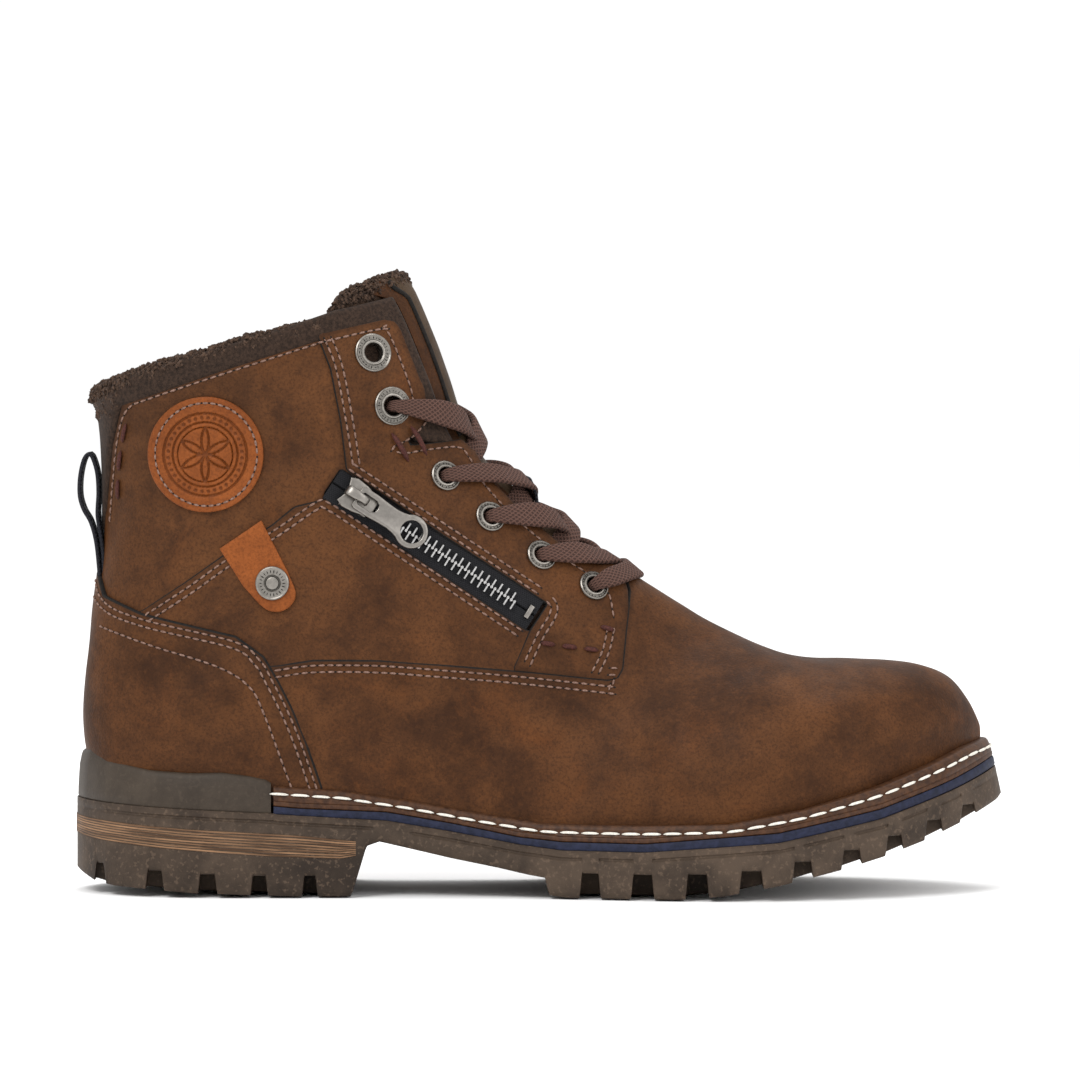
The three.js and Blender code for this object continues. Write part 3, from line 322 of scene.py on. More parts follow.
def build(name: str, points: np.ndarray, faces: list, material: bpy.types.Material,
          smooth: float | None = 40, second: bpy.types.Material | None = None,
          use_second: np.ndarray | None = None, merge: bool = True,
          edge: np.ndarray | None = None, uv: np.ndarray | None = None) -> bpy.types.Object:
    """A mesh object from points in the drawing's millimetres.

    Args:
        name: object name.
        points: points, mm.
        faces: vertex indices per face.
        material: its finish.
        smooth: angle in degrees past which an edge stays sharp, or None for flat faces.
        second: another finish for some faces.
        use_second: True for each face that takes it.
        merge: join double points.
        edge: a number per point kept as the attribute edge.
        uv: two numbers per point kept as the attribute run.
    Returns:
        The object, linked to the scene.
    """
    mesh = bpy.data.meshes.new(name)
    mesh.from_pydata(in_metres(points), [], [list(map(int, f)) for f in faces])
    mesh.materials.append(material)
    if second is not None:
        mesh.materials.append(second)
        mesh.polygons.foreach_set("material_index", np.asarray(use_second, int))
    if edge is not None:
        remember(mesh, "edge", edge)
    if uv is not None:
        remember(mesh, "run", np.concatenate([uv, np.zeros((len(uv), 1))], 1))
    if merge:
        bm = bmesh.new()
        bm.from_mesh(mesh)
        bmesh.ops.remove_doubles(bm, verts=bm.verts, dist=2e-6)
        bm.to_mesh(mesh)
        bm.free()
    mesh.validate()
    if smooth is None:
        mesh.shade_flat()
    else:
        mesh.shade_smooth()
        mesh.set_sharp_from_angle(angle=math.radians(smooth))
    return placed(name, mesh)


def facing_out(obj: bpy.types.Object) -> bpy.types.Object:
    """Turns a closed mesh's faces outwards.

    Args:
        obj: the object.
    Returns:
        The same object.
    """
    bm = bmesh.new()
    bm.from_mesh(obj.data)
    bmesh.ops.recalc_face_normals(bm, faces=bm.faces)
    bm.to_mesh(obj.data)
    bm.free()
    return obj


def joined(name: str, objects: list[bpy.types.Object]) -> bpy.types.Object:
    """One object from several that share their finishes.

    Args:
        name: name of the result.
        objects: pieces to merge.
    Returns:
        The merged object.
    """
    bm = bmesh.new()
    slots: list[bpy.types.Material] = []
    for o in objects:
        start = len(bm.faces)
        bm.from_mesh(o.data)
        bm.faces.ensure_lookup_table()
        index = []
        for m in o.data.materials:
            if m not in slots:
                slots.append(m)
            index.append(slots.index(m))
        for f in bm.faces[start:]:
            f.material_index = index[min(f.material_index, len(index) - 1)]
    mesh = bpy.data.meshes.new(name)
    bm.to_mesh(mesh)
    bm.free()
    for m in slots:
        mesh.materials.append(m)
    for o in objects:
        bpy.data.objects.remove(o)
    return placed(name, mesh)


def loft(count: int, ring: int, closed: bool = False) -> list[tuple[int, ...]]:
    """Faces between rings of points laid one after another.

    Args:
        count: number of rings.
        ring: points in each.
        closed: join the last ring to the first instead of capping both.
    Returns:
        Point numbers of each face.
    """
    faces = [(i * ring + j, (i + 1) % count * ring + j, (i + 1) % count * ring + (j + 1) % ring,
              i * ring + (j + 1) % ring) for i in range(count if closed else count - 1) for j in range(ring)]
    if not closed:
        faces += [tuple(range(ring)), tuple(range((count - 1) * ring, count * ring))[::-1]]
    return faces


def lofted(name: str, grid: np.ndarray, material: bpy.types.Material, smooth: float = 50,
           closed: bool = False, **more: object) -> bpy.types.Object:
    """A closed mesh through rings of points.

    Args:
        name: object name.
        grid: rings of points, mm.
        material: its finish.
        smooth: angle in degrees past which an edge stays sharp.
        closed: the rings come round to the first.
        more: further settings of build.
    Returns:
        The object.
    """
    grid = np.asarray(grid, float)
    faces = loft(*grid.shape[:2], closed)
    return facing_out(build(name, grid.reshape(-1, 3), faces, material, smooth, merge=False, **more))


def attach(obj: bpy.types.Object, slot: str | None, *nodes: str, body: str = "boot") -> None:
    """Hides the drawing's pieces that a piece stands for and hangs the piece on its body.

    Args:
        obj: the piece.
        slot: its material slot, or None; not used.
        nodes: the drawing's pieces that it stands for.
        body: the body that it rides, or nothing to hang it on none.
    """
    if nodes:
        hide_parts(*nodes)
    if body:
        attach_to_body(obj, body)


def sweep(name: str, path: np.ndarray, normals: np.ndarray, profile: np.ndarray,
          material: bpy.types.Material, scale: np.ndarray | None = None) -> bpy.types.Object:
    """A profile carried along a path.

    Args:
        name: object name.
        path: stations, mm.
        normals: outward direction at each station.
        profile: closed outline, across then outward, mm.
        material: its finish.
        scale: factors across and outward at each station.
    Returns:
        The object.
    """
    along = unit(np.gradient(np.asarray(path, float), axis=0))
    wide = unit(np.cross(along, normals))
    up = np.cross(wide, along)
    size = np.ones((len(path), 2)) if scale is None else np.asarray(scale, float)
    shape = profile[None] * size[:, None]
    grid = path[:, None] + wide[:, None] * shape[..., :1] + up[:, None] * shape[..., 1:]
    uv = np.stack([np.repeat(run_of(path), len(profile)), np.tile(profile[:, 0], len(path))], 1) / MM
    return lofted(name, grid, material, uv=uv)


def flat_profile(width: float, thick: float, corner: int = 4) -> np.ndarray:
    """Outline of a soft flat band.

    Args:
        width, thick: its size, mm.
        corner: points at each rounded edge.
    Returns:
        Closed outline.
    """
    t = np.linspace(-math.pi / 2, math.pi / 2, corner + 1)
    right = np.stack([(width - thick) / 2 + thick / 2 * np.cos(t), thick / 2 * np.sin(t)], 1)
    return np.vstack([right, -right])


def round_profile(radius: float, count: int = 10) -> np.ndarray:
    """Outline of a round bar of a radius in mm."""
    t = np.linspace(0, math.tau, count, endpoint=False)
    return np.stack([np.cos(t), np.sin(t)], 1) * radius


def lathe(name: str, profile: Line, place: np.ndarray, normal: np.ndarray,
          material: bpy.types.Material, steps: int = 40) -> bpy.types.Object:
    """A turned shape standing on a place.

    Args:
        name: object name.
        profile: radius and height pairs, a closed outline, mm.
        place: its foot, mm.
        normal: its axis.
        material: its finish.
        steps: faces round it.
    Returns:
        The object.
    """
    turn = np.array(Vector(UP).rotation_difference(Vector(normal)).to_matrix())
    angles = np.linspace(0, math.tau, steps, endpoint=False)[:, None]
    r, h = np.array(profile, float).T
    grid = np.stack([r * np.cos(angles), r * np.sin(angles), np.tile(h, (steps, 1))], -1)
    return lofted(name, grid @ turn.T + np.asarray(place), material, 35, closed=True)


def spokes(normal: np.ndarray, angles: np.ndarray) -> tuple[np.ndarray, np.ndarray]:
    """Directions round an axis.

    Args:
        normal: the axis.
        angles: where on the circle.
    Returns:
        Outward directions, then directions along the circle.
    """
    side = unit(np.cross(normal, UP))
    up = np.cross(side, normal)
    c, s = np.cos(angles)[:, None], np.sin(angles)[:, None]
    return c * side + s * up, c * up - s * side


# ---- Panels cut from the face ----
class Skin:
    """The face as a fine grid, from which panels are cut along the zero of a distance."""

    def __init__(self, rows_per_ring: int = 12, cols: int = 400, span: tuple[float, float] | None = None,
                 turn: tuple[float, float] = (0.0, 1.0)) -> None:
        """Lays the grid.

        Args:
            rows_per_ring: rows between two rings of the last.
            cols: columns round it.
            span: rings to cover, or None for all.
            turn: share of the way round to cover.
        """
        low, high = span or (0.0, LAST.count - 1.0)
        rows = int((high - low) * rows_per_ring) + 1
        u, v = np.linspace(low, high, rows), np.linspace(*turn, cols + 1)
        self.u, self.v = np.meshgrid(u, v, indexing="ij")
        self.p = LAST.face(self.u, self.v)
        pu, pv = np.gradient(self.p, axis=0), np.gradient(self.p, axis=1)
        self.g = ((pu ** 2).sum(-1), (pu * pv).sum(-1), (pv ** 2).sum(-1))
        i, j = np.meshgrid(np.arange(rows - 1), np.arange(cols), indexing="ij")
        a = (i * (cols + 1) + j).ravel()
        b = a + cols + 1
        self.tris = np.concatenate([np.stack([a, b + 1, b], 1), np.stack([a, a + 1, b + 1], 1)])

    def distance(self, f: np.ndarray) -> np.ndarray:
        """A side view distance turned into a distance along the face."""
        fu, fv = np.gradient(f, axis=0), np.gradient(f, axis=1)
        e, m, g = self.g
        det = np.maximum(e * g - m * m, 1e-9)
        slope = np.sqrt(np.maximum((g * fu ** 2 - 2 * m * fu * fv + e * fv ** 2) / det, 0))
        return f / np.clip(slope, 0.25, 1.0)

    def cut(self, field: np.ndarray, levels: tuple[float, ...] = (0.0,)) -> tuple[np.ndarray, np.ndarray]:
        """The part of the face where a distance is positive, with extra lines of points in it.

        Args:
            field: distance at each grid point, mm.
            levels: distances at which the mesh gets a line of points, the first being its rim.
        Returns:
            Rows of u, v, distance, and triangles.
        """
        f = np.where(np.abs(field) < 2e-3, 2e-3, field).ravel()
        data = np.stack([self.u.ravel(), self.v.ravel(), f], 1)
        tris = self.tris[(f[self.tris] > 0).any(1)]
        for k, level in enumerate(levels):
            data, tris = self._split(data, tris, level, k == 0)
        used, back = np.unique(tris, return_inverse=True)
        return data[used], back.reshape(tris.shape)

    @staticmethod
    def _split(data: np.ndarray, tris: np.ndarray, level: float, drop: bool) -> tuple[np.ndarray, np.ndarray]:
        """Splits the triangles that cross a level, and drops what lies below it if told to."""
        high = data[:, 2][tris] > level + 1e-7
        count = high.sum(1)
        mixed = (count > 0) & (count < 3)
        keep = [tris[(count == 3)] if drop else tris[~mixed]]
        cache: dict[tuple[int, int], int] = {}
        extra: list[np.ndarray] = []
        new: list[tuple[int, int, int]] = []
        base = len(data)

        def middle(a: int, b: int) -> int:
            """The point at the level between two others, made once for each pair."""
            if abs(data[a, 2] - level) <= 1e-7:
                return a
            if abs(data[b, 2] - level) <= 1e-7:
                return b
            key = (min(a, b), max(a, b))
            if key not in cache:
                lo, hi = key
                t = (level - data[lo, 2]) / (data[hi, 2] - data[lo, 2])
                row = data[lo] + (data[hi] - data[lo]) * t
                row[2] = level
                extra.append(row)
                cache[key] = base + len(extra) - 1
            return cache[key]

        for tri, up in zip(tris[mixed], high[mixed]):
            lone = bool(up.sum() == 1)
            k = int(np.argmax(up == lone))
            a, b, c = int(tri[k]), int(tri[(k + 1) % 3]), int(tri[(k + 2) % 3])
            p, q = middle(a, b), middle(a, c)
            parts = [((a, p, q), lone), ((p, b, c), not lone), ((p, c, q), not lone)]
            new += [t for t, top in parts if (top or not drop) and len(set(t)) == 3]
        if extra:
            data = np.vstack([data, np.array(extra)])
        if new:
            keep.append(np.array(new))
        return data, np.vstack(keep)


def rim_edges(tris: np.ndarray, f: np.ndarray) -> np.ndarray:
    """Edges on the rim of a cut mesh, where the distance is zero.

    Args:
        tris: its triangles.
        f: distance at each point, mm.
    Returns:
        Pairs of point numbers.
    """
    edges = np.concatenate([tris[:, [0, 1]], tris[:, [1, 2]], tris[:, [2, 0]]])
    _, first, times = np.unique(np.sort(edges, 1), axis=0, return_index=True, return_counts=True)
    border = edges[first[times == 1]]
    return border[(f[border] <= 1e-6).all(1)]


def rolled(f: np.ndarray, roll: float, drop: float) -> np.ndarray:
    """How far a face has dropped at a distance from its rim, mm."""
    t = np.clip(1 - f / roll, 0, 1)
    return drop * (1 - np.sqrt(np.maximum(1 - t * t, 0)))


def panel(skin: Skin, name: str, field: np.ndarray, rise: float, material: bpy.types.Material,
          rim: bpy.types.Material, foot: float = -0.6, drop: float = 0.55, roll: float = 1.1,
          back: float | None = None, lumps: float = 0.12, ink: float = 0.3) -> bpy.types.Object:
    """A piece of leather or cloth lying on the foot's shape, its rim rolled over and its cut edge shown.

    Args:
        skin: the grid to cut from.
        name: object name.
        field: distance inside the piece's outline at each grid point.
        rise: height of its face above the last, mm.
        material: face finish.
        rim: cut edge finish.
        foot: where the cut edge ends, mm from the last's face.
        drop: how far the rim rolls down, mm.
        roll: how wide that roll is, mm.
        back: the inner face's distance for a closed piece, or None for an outer face only.
        lumps: height of the soft unevenness, mm.
        ink: width of the dark rim, mm.
    Returns:
        The object.
    """
    data, tris = skin.cut(skin.distance(field), (0.0, 0.12 * roll, ink, max(ink + 0.2, 0.5 * roll), roll))
    u, v, f = data.T
    p, n = LAST.face(u, v), LAST.normal(u, v)
    a = p / MM
    lump = (np.sin(a @ (61, 133, 97) + 2 * np.sin(a @ (-88, 40, 71)))
            + np.sin(a @ (-140, 60, 190) + 1.3) * 0.6 + np.sin(a @ (250, -170, 60)) * 0.35)
    outer = p + n * (rise - rolled(f, roll, drop) + lump * lumps * np.clip(f / 6, 0, 1))[:, None]
    low = p + n * (foot if back is None else back)
    count = len(u)
    border = rim_edges(tris, f)
    faces = [tuple(t) for t in tris] + [(b, a, a + count, b + count) for a, b in border]
    dark = np.concatenate([(f[tris] < ink + 0.01).all(1), np.ones(len(border), bool)])
    if back is not None:
        faces += [(a + count, c + count, b + count) for a, b, c in tris]
        dark = np.concatenate([dark, np.zeros(len(tris), bool)])
    points = np.vstack([outer, low])
    edge = np.concatenate([f, np.zeros(count)]) / MM
    keep = np.unique(np.concatenate([tris.ravel(), (border + count).ravel(),
                                     (tris + count).ravel() if back is not None else []]).astype(int))
    remap = np.full(len(points), -1)
    remap[keep] = np.arange(len(keep))
    faces = [tuple(remap[list(q)]) for q in faces]
    return build(name, points[keep], faces, material, 48, rim, dark, edge=edge[keep])


# ---- Finishes ----
@dataclass(frozen=True)
class Finish:
    """Look of one material: linear colours, roughness, metal and relief."""

    dark: tuple[float, float, float]
    light: tuple[float, float, float]
    rough: float = 0.7
    metal: float = 0.0
    relief: float = 0.15
    scale: float = 900.0
    sheen: float = 0.0


LEATHER = Finish((0.0320, 0.0115, 0.0036), (0.0940, 0.0350, 0.0106), 0.58, relief=0.26, scale=1500)
OLIVE = Finish((0.052, 0.0300, 0.0155), (0.098, 0.0600, 0.0330), 0.6, relief=0.2, scale=1500)
COGNAC = Finish((0.120, 0.0300, 0.0055), (0.225, 0.0620, 0.0130), 0.45, relief=0.15, scale=1700)
FELT = Finish((0.014, 0.0078, 0.0050), (0.036, 0.0205, 0.0132), 0.95, relief=0.5, scale=2600, sheen=0.03)
FLEECE = Finish((0.019, 0.0102, 0.0062), (0.073, 0.0430, 0.0280), 0.95, relief=0.6, scale=1800, sheen=0.03)
CUT = Finish((0.004, 0.0035, 0.003), (0.012, 0.009, 0.007), 0.8, relief=0.3, scale=2500)
THREAD = Finish((0.110, 0.0600, 0.0440), (0.255, 0.1580, 0.1220), 0.75, relief=0.3, scale=6000)
WHITE_THREAD = Finish((0.55, 0.52, 0.46), (0.80, 0.77, 0.70), 0.7, relief=0.3, scale=6000)
ACCENT = Finish((0.030, 0.008, 0.006), (0.072, 0.020, 0.014), 0.7, relief=0.3, scale=5000)
SILVER = Finish((0.035, 0.032, 0.028), (0.275, 0.255, 0.228), 0.38, 1.0, relief=0.12, scale=1200)
PEWTER = Finish((0.070, 0.064, 0.058), (0.275, 0.255, 0.232), 0.34, 1.0, relief=0.06, scale=900)
NICKEL = Finish((0.12, 0.12, 0.12), (0.60, 0.59, 0.58), 0.26, 1.0, relief=0.05, scale=900)
TAPE = Finish((0.004, 0.004, 0.005), (0.014, 0.014, 0.016), 0.85, relief=0.3, scale=2200)
WEBBING = Finish((0.005, 0.005, 0.007), (0.020, 0.020, 0.026), 0.8, relief=0.5, scale=900)
LACE = Finish((0.050, 0.0240, 0.0180), (0.128, 0.0655, 0.0490), 0.85, relief=0.8, scale=520)
RUBBER = Finish((0.020, 0.0125, 0.0080), (0.068, 0.0460, 0.0310), 0.62, relief=0.25, scale=1500)
CUP_RUBBER = Finish((0.026, 0.0180, 0.0120), (0.054, 0.0400, 0.0280), 0.55, relief=0.12, scale=1300)
STACKED = Finish((0.060, 0.0290, 0.0130), (0.270, 0.1500, 0.0780), 0.6, relief=0.4, scale=700)
WELT_BROWN = Finish((0.030, 0.0110, 0.0042), (0.068, 0.0275, 0.0105), 0.5, relief=0.15, scale=1500)
NAVY = Finish((0.0050, 0.0070, 0.0190), (0.0130, 0.0165, 0.0400), 0.6, relief=0.1, scale=1500)
BOARD = Finish((0.25, 0.17, 0.10), (0.42, 0.30, 0.19), 0.9, relief=0.3, scale=1500)
STIFF = Finish((0.35, 0.31, 0.25), (0.52, 0.47, 0.38), 0.85, relief=0.2, scale=1500)
ENGRAVED = Finish((0.015, 0.013, 0.012), (0.05, 0.046, 0.042), 0.5, 1.0, relief=0.1, scale=1200)
STEEL = Finish((0.20, 0.21, 0.22), (0.45, 0.46, 0.48), 0.35, 1.0, relief=0.05, scale=600)
PLASTIC = Finish((0.012, 0.008, 0.007), (0.030, 0.019, 0.015), 0.3, relief=0.02, scale=1500)


class Nodes:
    """Short hand for wiring one node tree."""

    def __init__(self, tree: bpy.types.NodeTree) -> None:
        """Takes the tree."""
        self.tree = tree

    def put(self, node: bpy.types.Node, key: str | int, value: object) -> None:
        """Sets an input of a node, or links it when the value is a socket.

        Args:
            node: the node.
            key: name or place of the input.
            value: a value or an output socket.
        """
        if isinstance(value, bpy.types.NodeSocket):
            self.tree.links.new(value, node.inputs[key])
        else:
            node.inputs[key].default_value = value

    def add(self, kind: str, inputs: dict | None = None, **props: object) -> bpy.types.Node:
        """Adds a node.

        Args:
            kind: node type.
            inputs: values or output sockets for its inputs, by name or place.
            props: settings of the node.
        Returns:
            The node.
        """
        node = self.tree.nodes.new(kind)
        for k, v in props.items():
            setattr(node, k, v)
        for k, v in (inputs or {}).items():
            self.put(node, k, v)
        return node

    def math(self, op: str, a: object, b: object = 0.0, clamp: bool = False) -> bpy.types.NodeSocket:
        """One sum: op of a and b."""
        return self.add("ShaderNodeMath", {0: a, 1: b}, operation=op, use_clamp=clamp).outputs[0]

    def plus(self, a: object, b: object, clamp: bool = False) -> bpy.types.NodeSocket:
        """a + b."""
        return self.math("ADD", a, b, clamp)

    def less(self, a: object, b: object) -> bpy.types.NodeSocket:
        """a - b."""
        return self.math("SUBTRACT", a, b)

    def times(self, a: object, b: object, clamp: bool = False) -> bpy.types.NodeSocket:
        """a times b."""
        return self.math("MULTIPLY", a, b, clamp)

    def ramp(self, value: object, low: float, high: float) -> bpy.types.NodeSocket:
        """0 at low to 1 at high, smooth between."""
        node = self.add("ShaderNodeMapRange", {"Value": value, "From Min": low, "From Max": high},
                        interpolation_type="SMOOTHSTEP")
        return node.outputs["Result"]

    def mix(self, fac: object, a: object, b: object) -> bpy.types.NodeSocket:
        """Two colours mixed by a factor."""
        a, b = ((*c, 1) if isinstance(c, tuple) else c for c in (a, b))
        return self.add("ShaderNodeMix", {0: fac, 6: a, 7: b}, data_type="RGBA").outputs[2]

    def noise(self, at: object, scale: float, detail: float = 4, rough: float = 0.55,
              bend: float = 0.0) -> bpy.types.NodeSocket:
        """Fractal noise at a position."""
        node = self.add("ShaderNodeTexNoise", {"Vector": at, "Scale": scale, "Detail": detail,
                                               "Roughness": rough, "Distortion": bend})
        return node.outputs["Fac"]


def sockets(tree: bpy.types.NodeTree, way: str, kinds: dict[str, str]) -> None:
    """Adds the sockets of a node group: name and kind, going IN or OUT."""
    for name, kind in kinds.items():
        tree.interface.new_socket(name, in_out=f"{way}PUT", socket_type=f"NodeSocket{kind}")


def grain_group() -> bpy.types.NodeTree:
    """Pore and crease relief with a mottling mask and flecks, shared by all the finishes.

    Returns:
        The group.
    """
    tree = bpy.data.node_groups.new("surface_grain", "ShaderNodeTree")
    sockets(tree, "IN", {"Position": "Vector", "Pore Scale": "Float"})
    sockets(tree, "OUT", {"Height": "Float", "Mottle": "Float", "Speckle": "Float"})
    n = Nodes(tree)
    start, end = n.add("NodeGroupInput"), n.add("NodeGroupOutput")
    at, scale = start.outputs[0], start.outputs[1]
    pores = n.add("ShaderNodeTexVoronoi", {"Vector": at, "Scale": scale}, feature="SMOOTH_F1")
    fine = n.add("ShaderNodeTexNoise", {"Vector": at, "Scale": scale, "Detail": 3.0})
    tall = n.plus(n.times(pores.outputs["Distance"], 0.6), n.times(fine.outputs["Fac"], 0.5))
    tall = n.plus(tall, n.times(n.noise(at, 160, 3), 0.7))
    mottle = n.plus(n.times(n.noise(at, 22, 5, 0.6, 0.6), 0.55), n.times(n.noise(at, 75, 6, 0.68, 0.3), 0.45))
    for k, out in enumerate((tall, mottle, n.ramp(n.noise(at, 700, 2), 0.55, 0.68))):
        n.put(end, k, out)
    return tree


class Paint(Nodes):
    """One material in the making, with the shared grain in it."""

    def __init__(self, name: str, finish: Finish, grain: bpy.types.NodeTree) -> None:
        """Starts the material.

        Args:
            name: its name.
            finish: its look.
            grain: the shared grain.
        """
        self.mat = bpy.data.materials.new(name)
        self.mat.use_nodes = True
        super().__init__(self.mat.node_tree)
        self.finish = finish
        self.shader = self.tree.nodes["Principled BSDF"]
        for key, value in (("Metallic", finish.metal), ("Sheen Weight", finish.sheen),
                           ("Sheen Roughness", 0.45), ("Specular IOR Level", 0.5 if finish.metal else 0.22)):
            self.put(self.shader, key, value)
        self.at = self.add("ShaderNodeTexCoord").outputs["Object"]
        group = self.add("ShaderNodeGroup", {0: self.at, 1: finish.scale}, node_tree=grain)
        self.tall, self.mottle, self.speckle = (group.outputs[k] for k in range(3))

    def close(self, tone: object, rough: object, tall: object, depth: float = 0.0004) -> bpy.types.Material:
        """Joins colour, roughness and relief to the shader.

        Args:
            tone, rough, tall: sockets, or a plain roughness.
            depth: depth of the relief, metres.
        Returns:
            The material.
        """
        bump = self.add("ShaderNodeBump", {"Height": tall, "Strength": self.finish.relief, "Distance": depth})
        for key, value in (("Base Color", tone), ("Roughness", rough), ("Normal", bump.outputs[0])):
            self.put(self.shader, key, value)
        return self.mat


def tint(colour: tuple[float, ...], *factors: float) -> tuple[float, ...]:
    """A colour times one factor, or one for each channel, at most 1."""
    return tuple(min(1.0, c * k) for c, k in zip(colour, factors * 3))


class Shop:
    """Makes and keeps the finishes."""

    def __init__(self) -> None:
        """Makes the shared grain."""
        self.grain = grain_group()
        self.made: dict[str, bpy.types.Material] = {}

    def leather(self, name: str, finish: Finish, worn: float) -> None:
        """Waxy mottled leather, with painted shade in its creases and pores, and darker by its edges.

        Args:
            name: material name.
            finish: colours and relief.
            worn: how strongly it rubs up lighter, 0 to 1.
        """
        n = Paint(name, finish, self.grain)
        n.put(n.shader, "Specular IOR Level", 0.12)
        edge = n.add("ShaderNodeAttribute", attribute_name="edge").outputs["Fac"]
        tone = n.mix(n.ramp(n.mottle, 0.34, 0.66), finish.dark, finish.light)
        warm, cool = tint(finish.light, 1.3, 1.12, 0.85), tint(finish.dark, 1.25, 1.45, 1.7)
        for share, most, colour in (
                (n.ramp(n.noise(n.at, 34, 6, 0.7, 0.8), 0.52, 0.78), worn, warm),
                (n.ramp(n.noise(n.at, 15, 3, 0.5), 0.5, 0.75), 0.45 * worn, cool),
                (n.ramp(n.noise(n.at, 1100, 3, 0.7), 0.42, 0.68), 0.5, tint(finish.dark, 0.62)),
                (n.ramp(n.noise(n.at, 480, 4, 0.7), 0.5, 0.75), 0.22, tint(finish.light, 1.5)),
                (n.less(1.0, n.ramp(edge, 0.0, 0.0030)), 0.45, tint(finish.dark, 0.45)),
                # painted shade: darker where the grain relief is low, in its creases and pores
                (n.ramp(n.tall, 0.75, 0.45), 0.25, tint(finish.dark, 0.5))):
            tone = n.mix(n.times(share, most), tone, colour)
        rough = n.plus(n.times(n.noise(n.at, 90, 4), 0.3), finish.rough - 0.12)
        seam = n.less(n.ramp(edge, 0.0012, 0.0024), n.ramp(edge, 0.0042, 0.0062))
        self.made[name] = n.close(tone, rough, n.plus(n.tall, n.times(seam, 0.9)), 0.0006)

    def plain(self, name: str, finish: Finish, contrast: float = 1.0) -> None:
        """Felt, foam, board, thread, plastic and other even stuff with its own grain.

        Args:
            name: material name.
            finish: colours and relief.
            contrast: how far the two colours part.
        """
        n = Paint(name, finish, self.grain)
        half = 0.17 / contrast
        fac = n.ramp(n.noise(n.at, finish.scale * 0.35, 4, 0.65), 0.5 - half, 0.5 + half)
        self.made[name] = n.close(n.mix(fac, finish.dark, finish.light), finish.rough, n.tall)

    def metal(self, name: str, finish: Finish) -> None:
        """Cast metal, dark in its hollows and brighter where it rubs.

        Args:
            name: material name.
            finish: colours and relief.
        """
        n = Paint(name, finish, self.grain)
        raised = n.ramp(n.add("ShaderNodeNewGeometry").outputs["Pointiness"], 0.42, 0.53)
        fac = n.times(raised, n.plus(n.times(n.noise(n.at, 700, 5), 0.7), 0.45), True)
        rough = n.plus(n.times(n.noise(n.at, 600, 3), 0.2), finish.rough - 0.1)
        self.made[name] = n.close(n.mix(fac, finish.dark, finish.light), rough, n.tall)

    def woven(self, name: str, finish: Finish, along: float, across: float) -> None:
        """A flat weave that follows the band, from its own run attribute.

        Args:
            name: material name.
            finish: colours and relief.
            along, across: threads per metre each way.
        """
        n = Paint(name, finish, self.grain)
        run = n.add("ShaderNodeAttribute", attribute_name="run").outputs["Vector"]
        part = n.add("ShaderNodeSeparateXYZ", {0: run})
        x, y = n.times(part.outputs[0], along), n.times(part.outputs[1], across)
        one, two = (n.math("SINE", n.times(way, math.tau)) for way in (n.plus(x, y), n.less(x, y)))
        knots = n.less(n.math("MAXIMUM", one, two), 0.35)
        fuzz = n.noise(n.at, 2600, 3)
        fac = n.times(n.plus(n.times(knots, 0.6), 0.42, True), n.plus(fuzz, 0.45), True)
        tone = n.mix(fac, finish.dark, finish.light)
        self.made[name] = n.close(tone, finish.rough, n.plus(knots, n.times(fuzz, 0.8)), 0.0005)

    def rubber(self, name: str, finish: Finish, speck: float) -> None:
        """Moulded rubber with paler flecks.

        Args:
            name: material name.
            finish: colours and relief.
            speck: strength of the flecks.
        """
        n = Paint(name, finish, self.grain)
        tone = n.mix(n.ramp(n.mottle, 0.35, 0.65), finish.dark, finish.light)
        tone = n.mix(n.times(n.speckle, speck), tone, tint(finish.light, 2.1))
        rough = n.plus(n.times(n.mottle, 0.25), finish.rough - 0.12)
        self.made[name] = n.close(tone, rough, n.tall, 0.0005)

    def stacked(self, name: str, finish: Finish) -> None:
        """Pressed layers, striped along the heel.

        Args:
            name: material name.
            finish: colours and relief.
        """
        n = Paint(name, finish, self.grain)
        x, y, z = (n.add("ShaderNodeSeparateXYZ", {0: n.at}).outputs[k] for k in range(3))
        layer = n.plus(z, n.times(x, 0.075))
        scaled = {0: n.times(x, 26.0), 1: n.times(y, 26.0), 2: n.times(layer, 900.0)}
        flat = n.add("ShaderNodeCombineXYZ", scaled)
        fac = n.ramp(n.noise(flat.outputs[0], 1.0, 4, 0.7), 0.36, 0.66)
        self.made[name] = n.close(n.mix(fac, finish.dark, finish.light), finish.rough, fac, 0.0005)


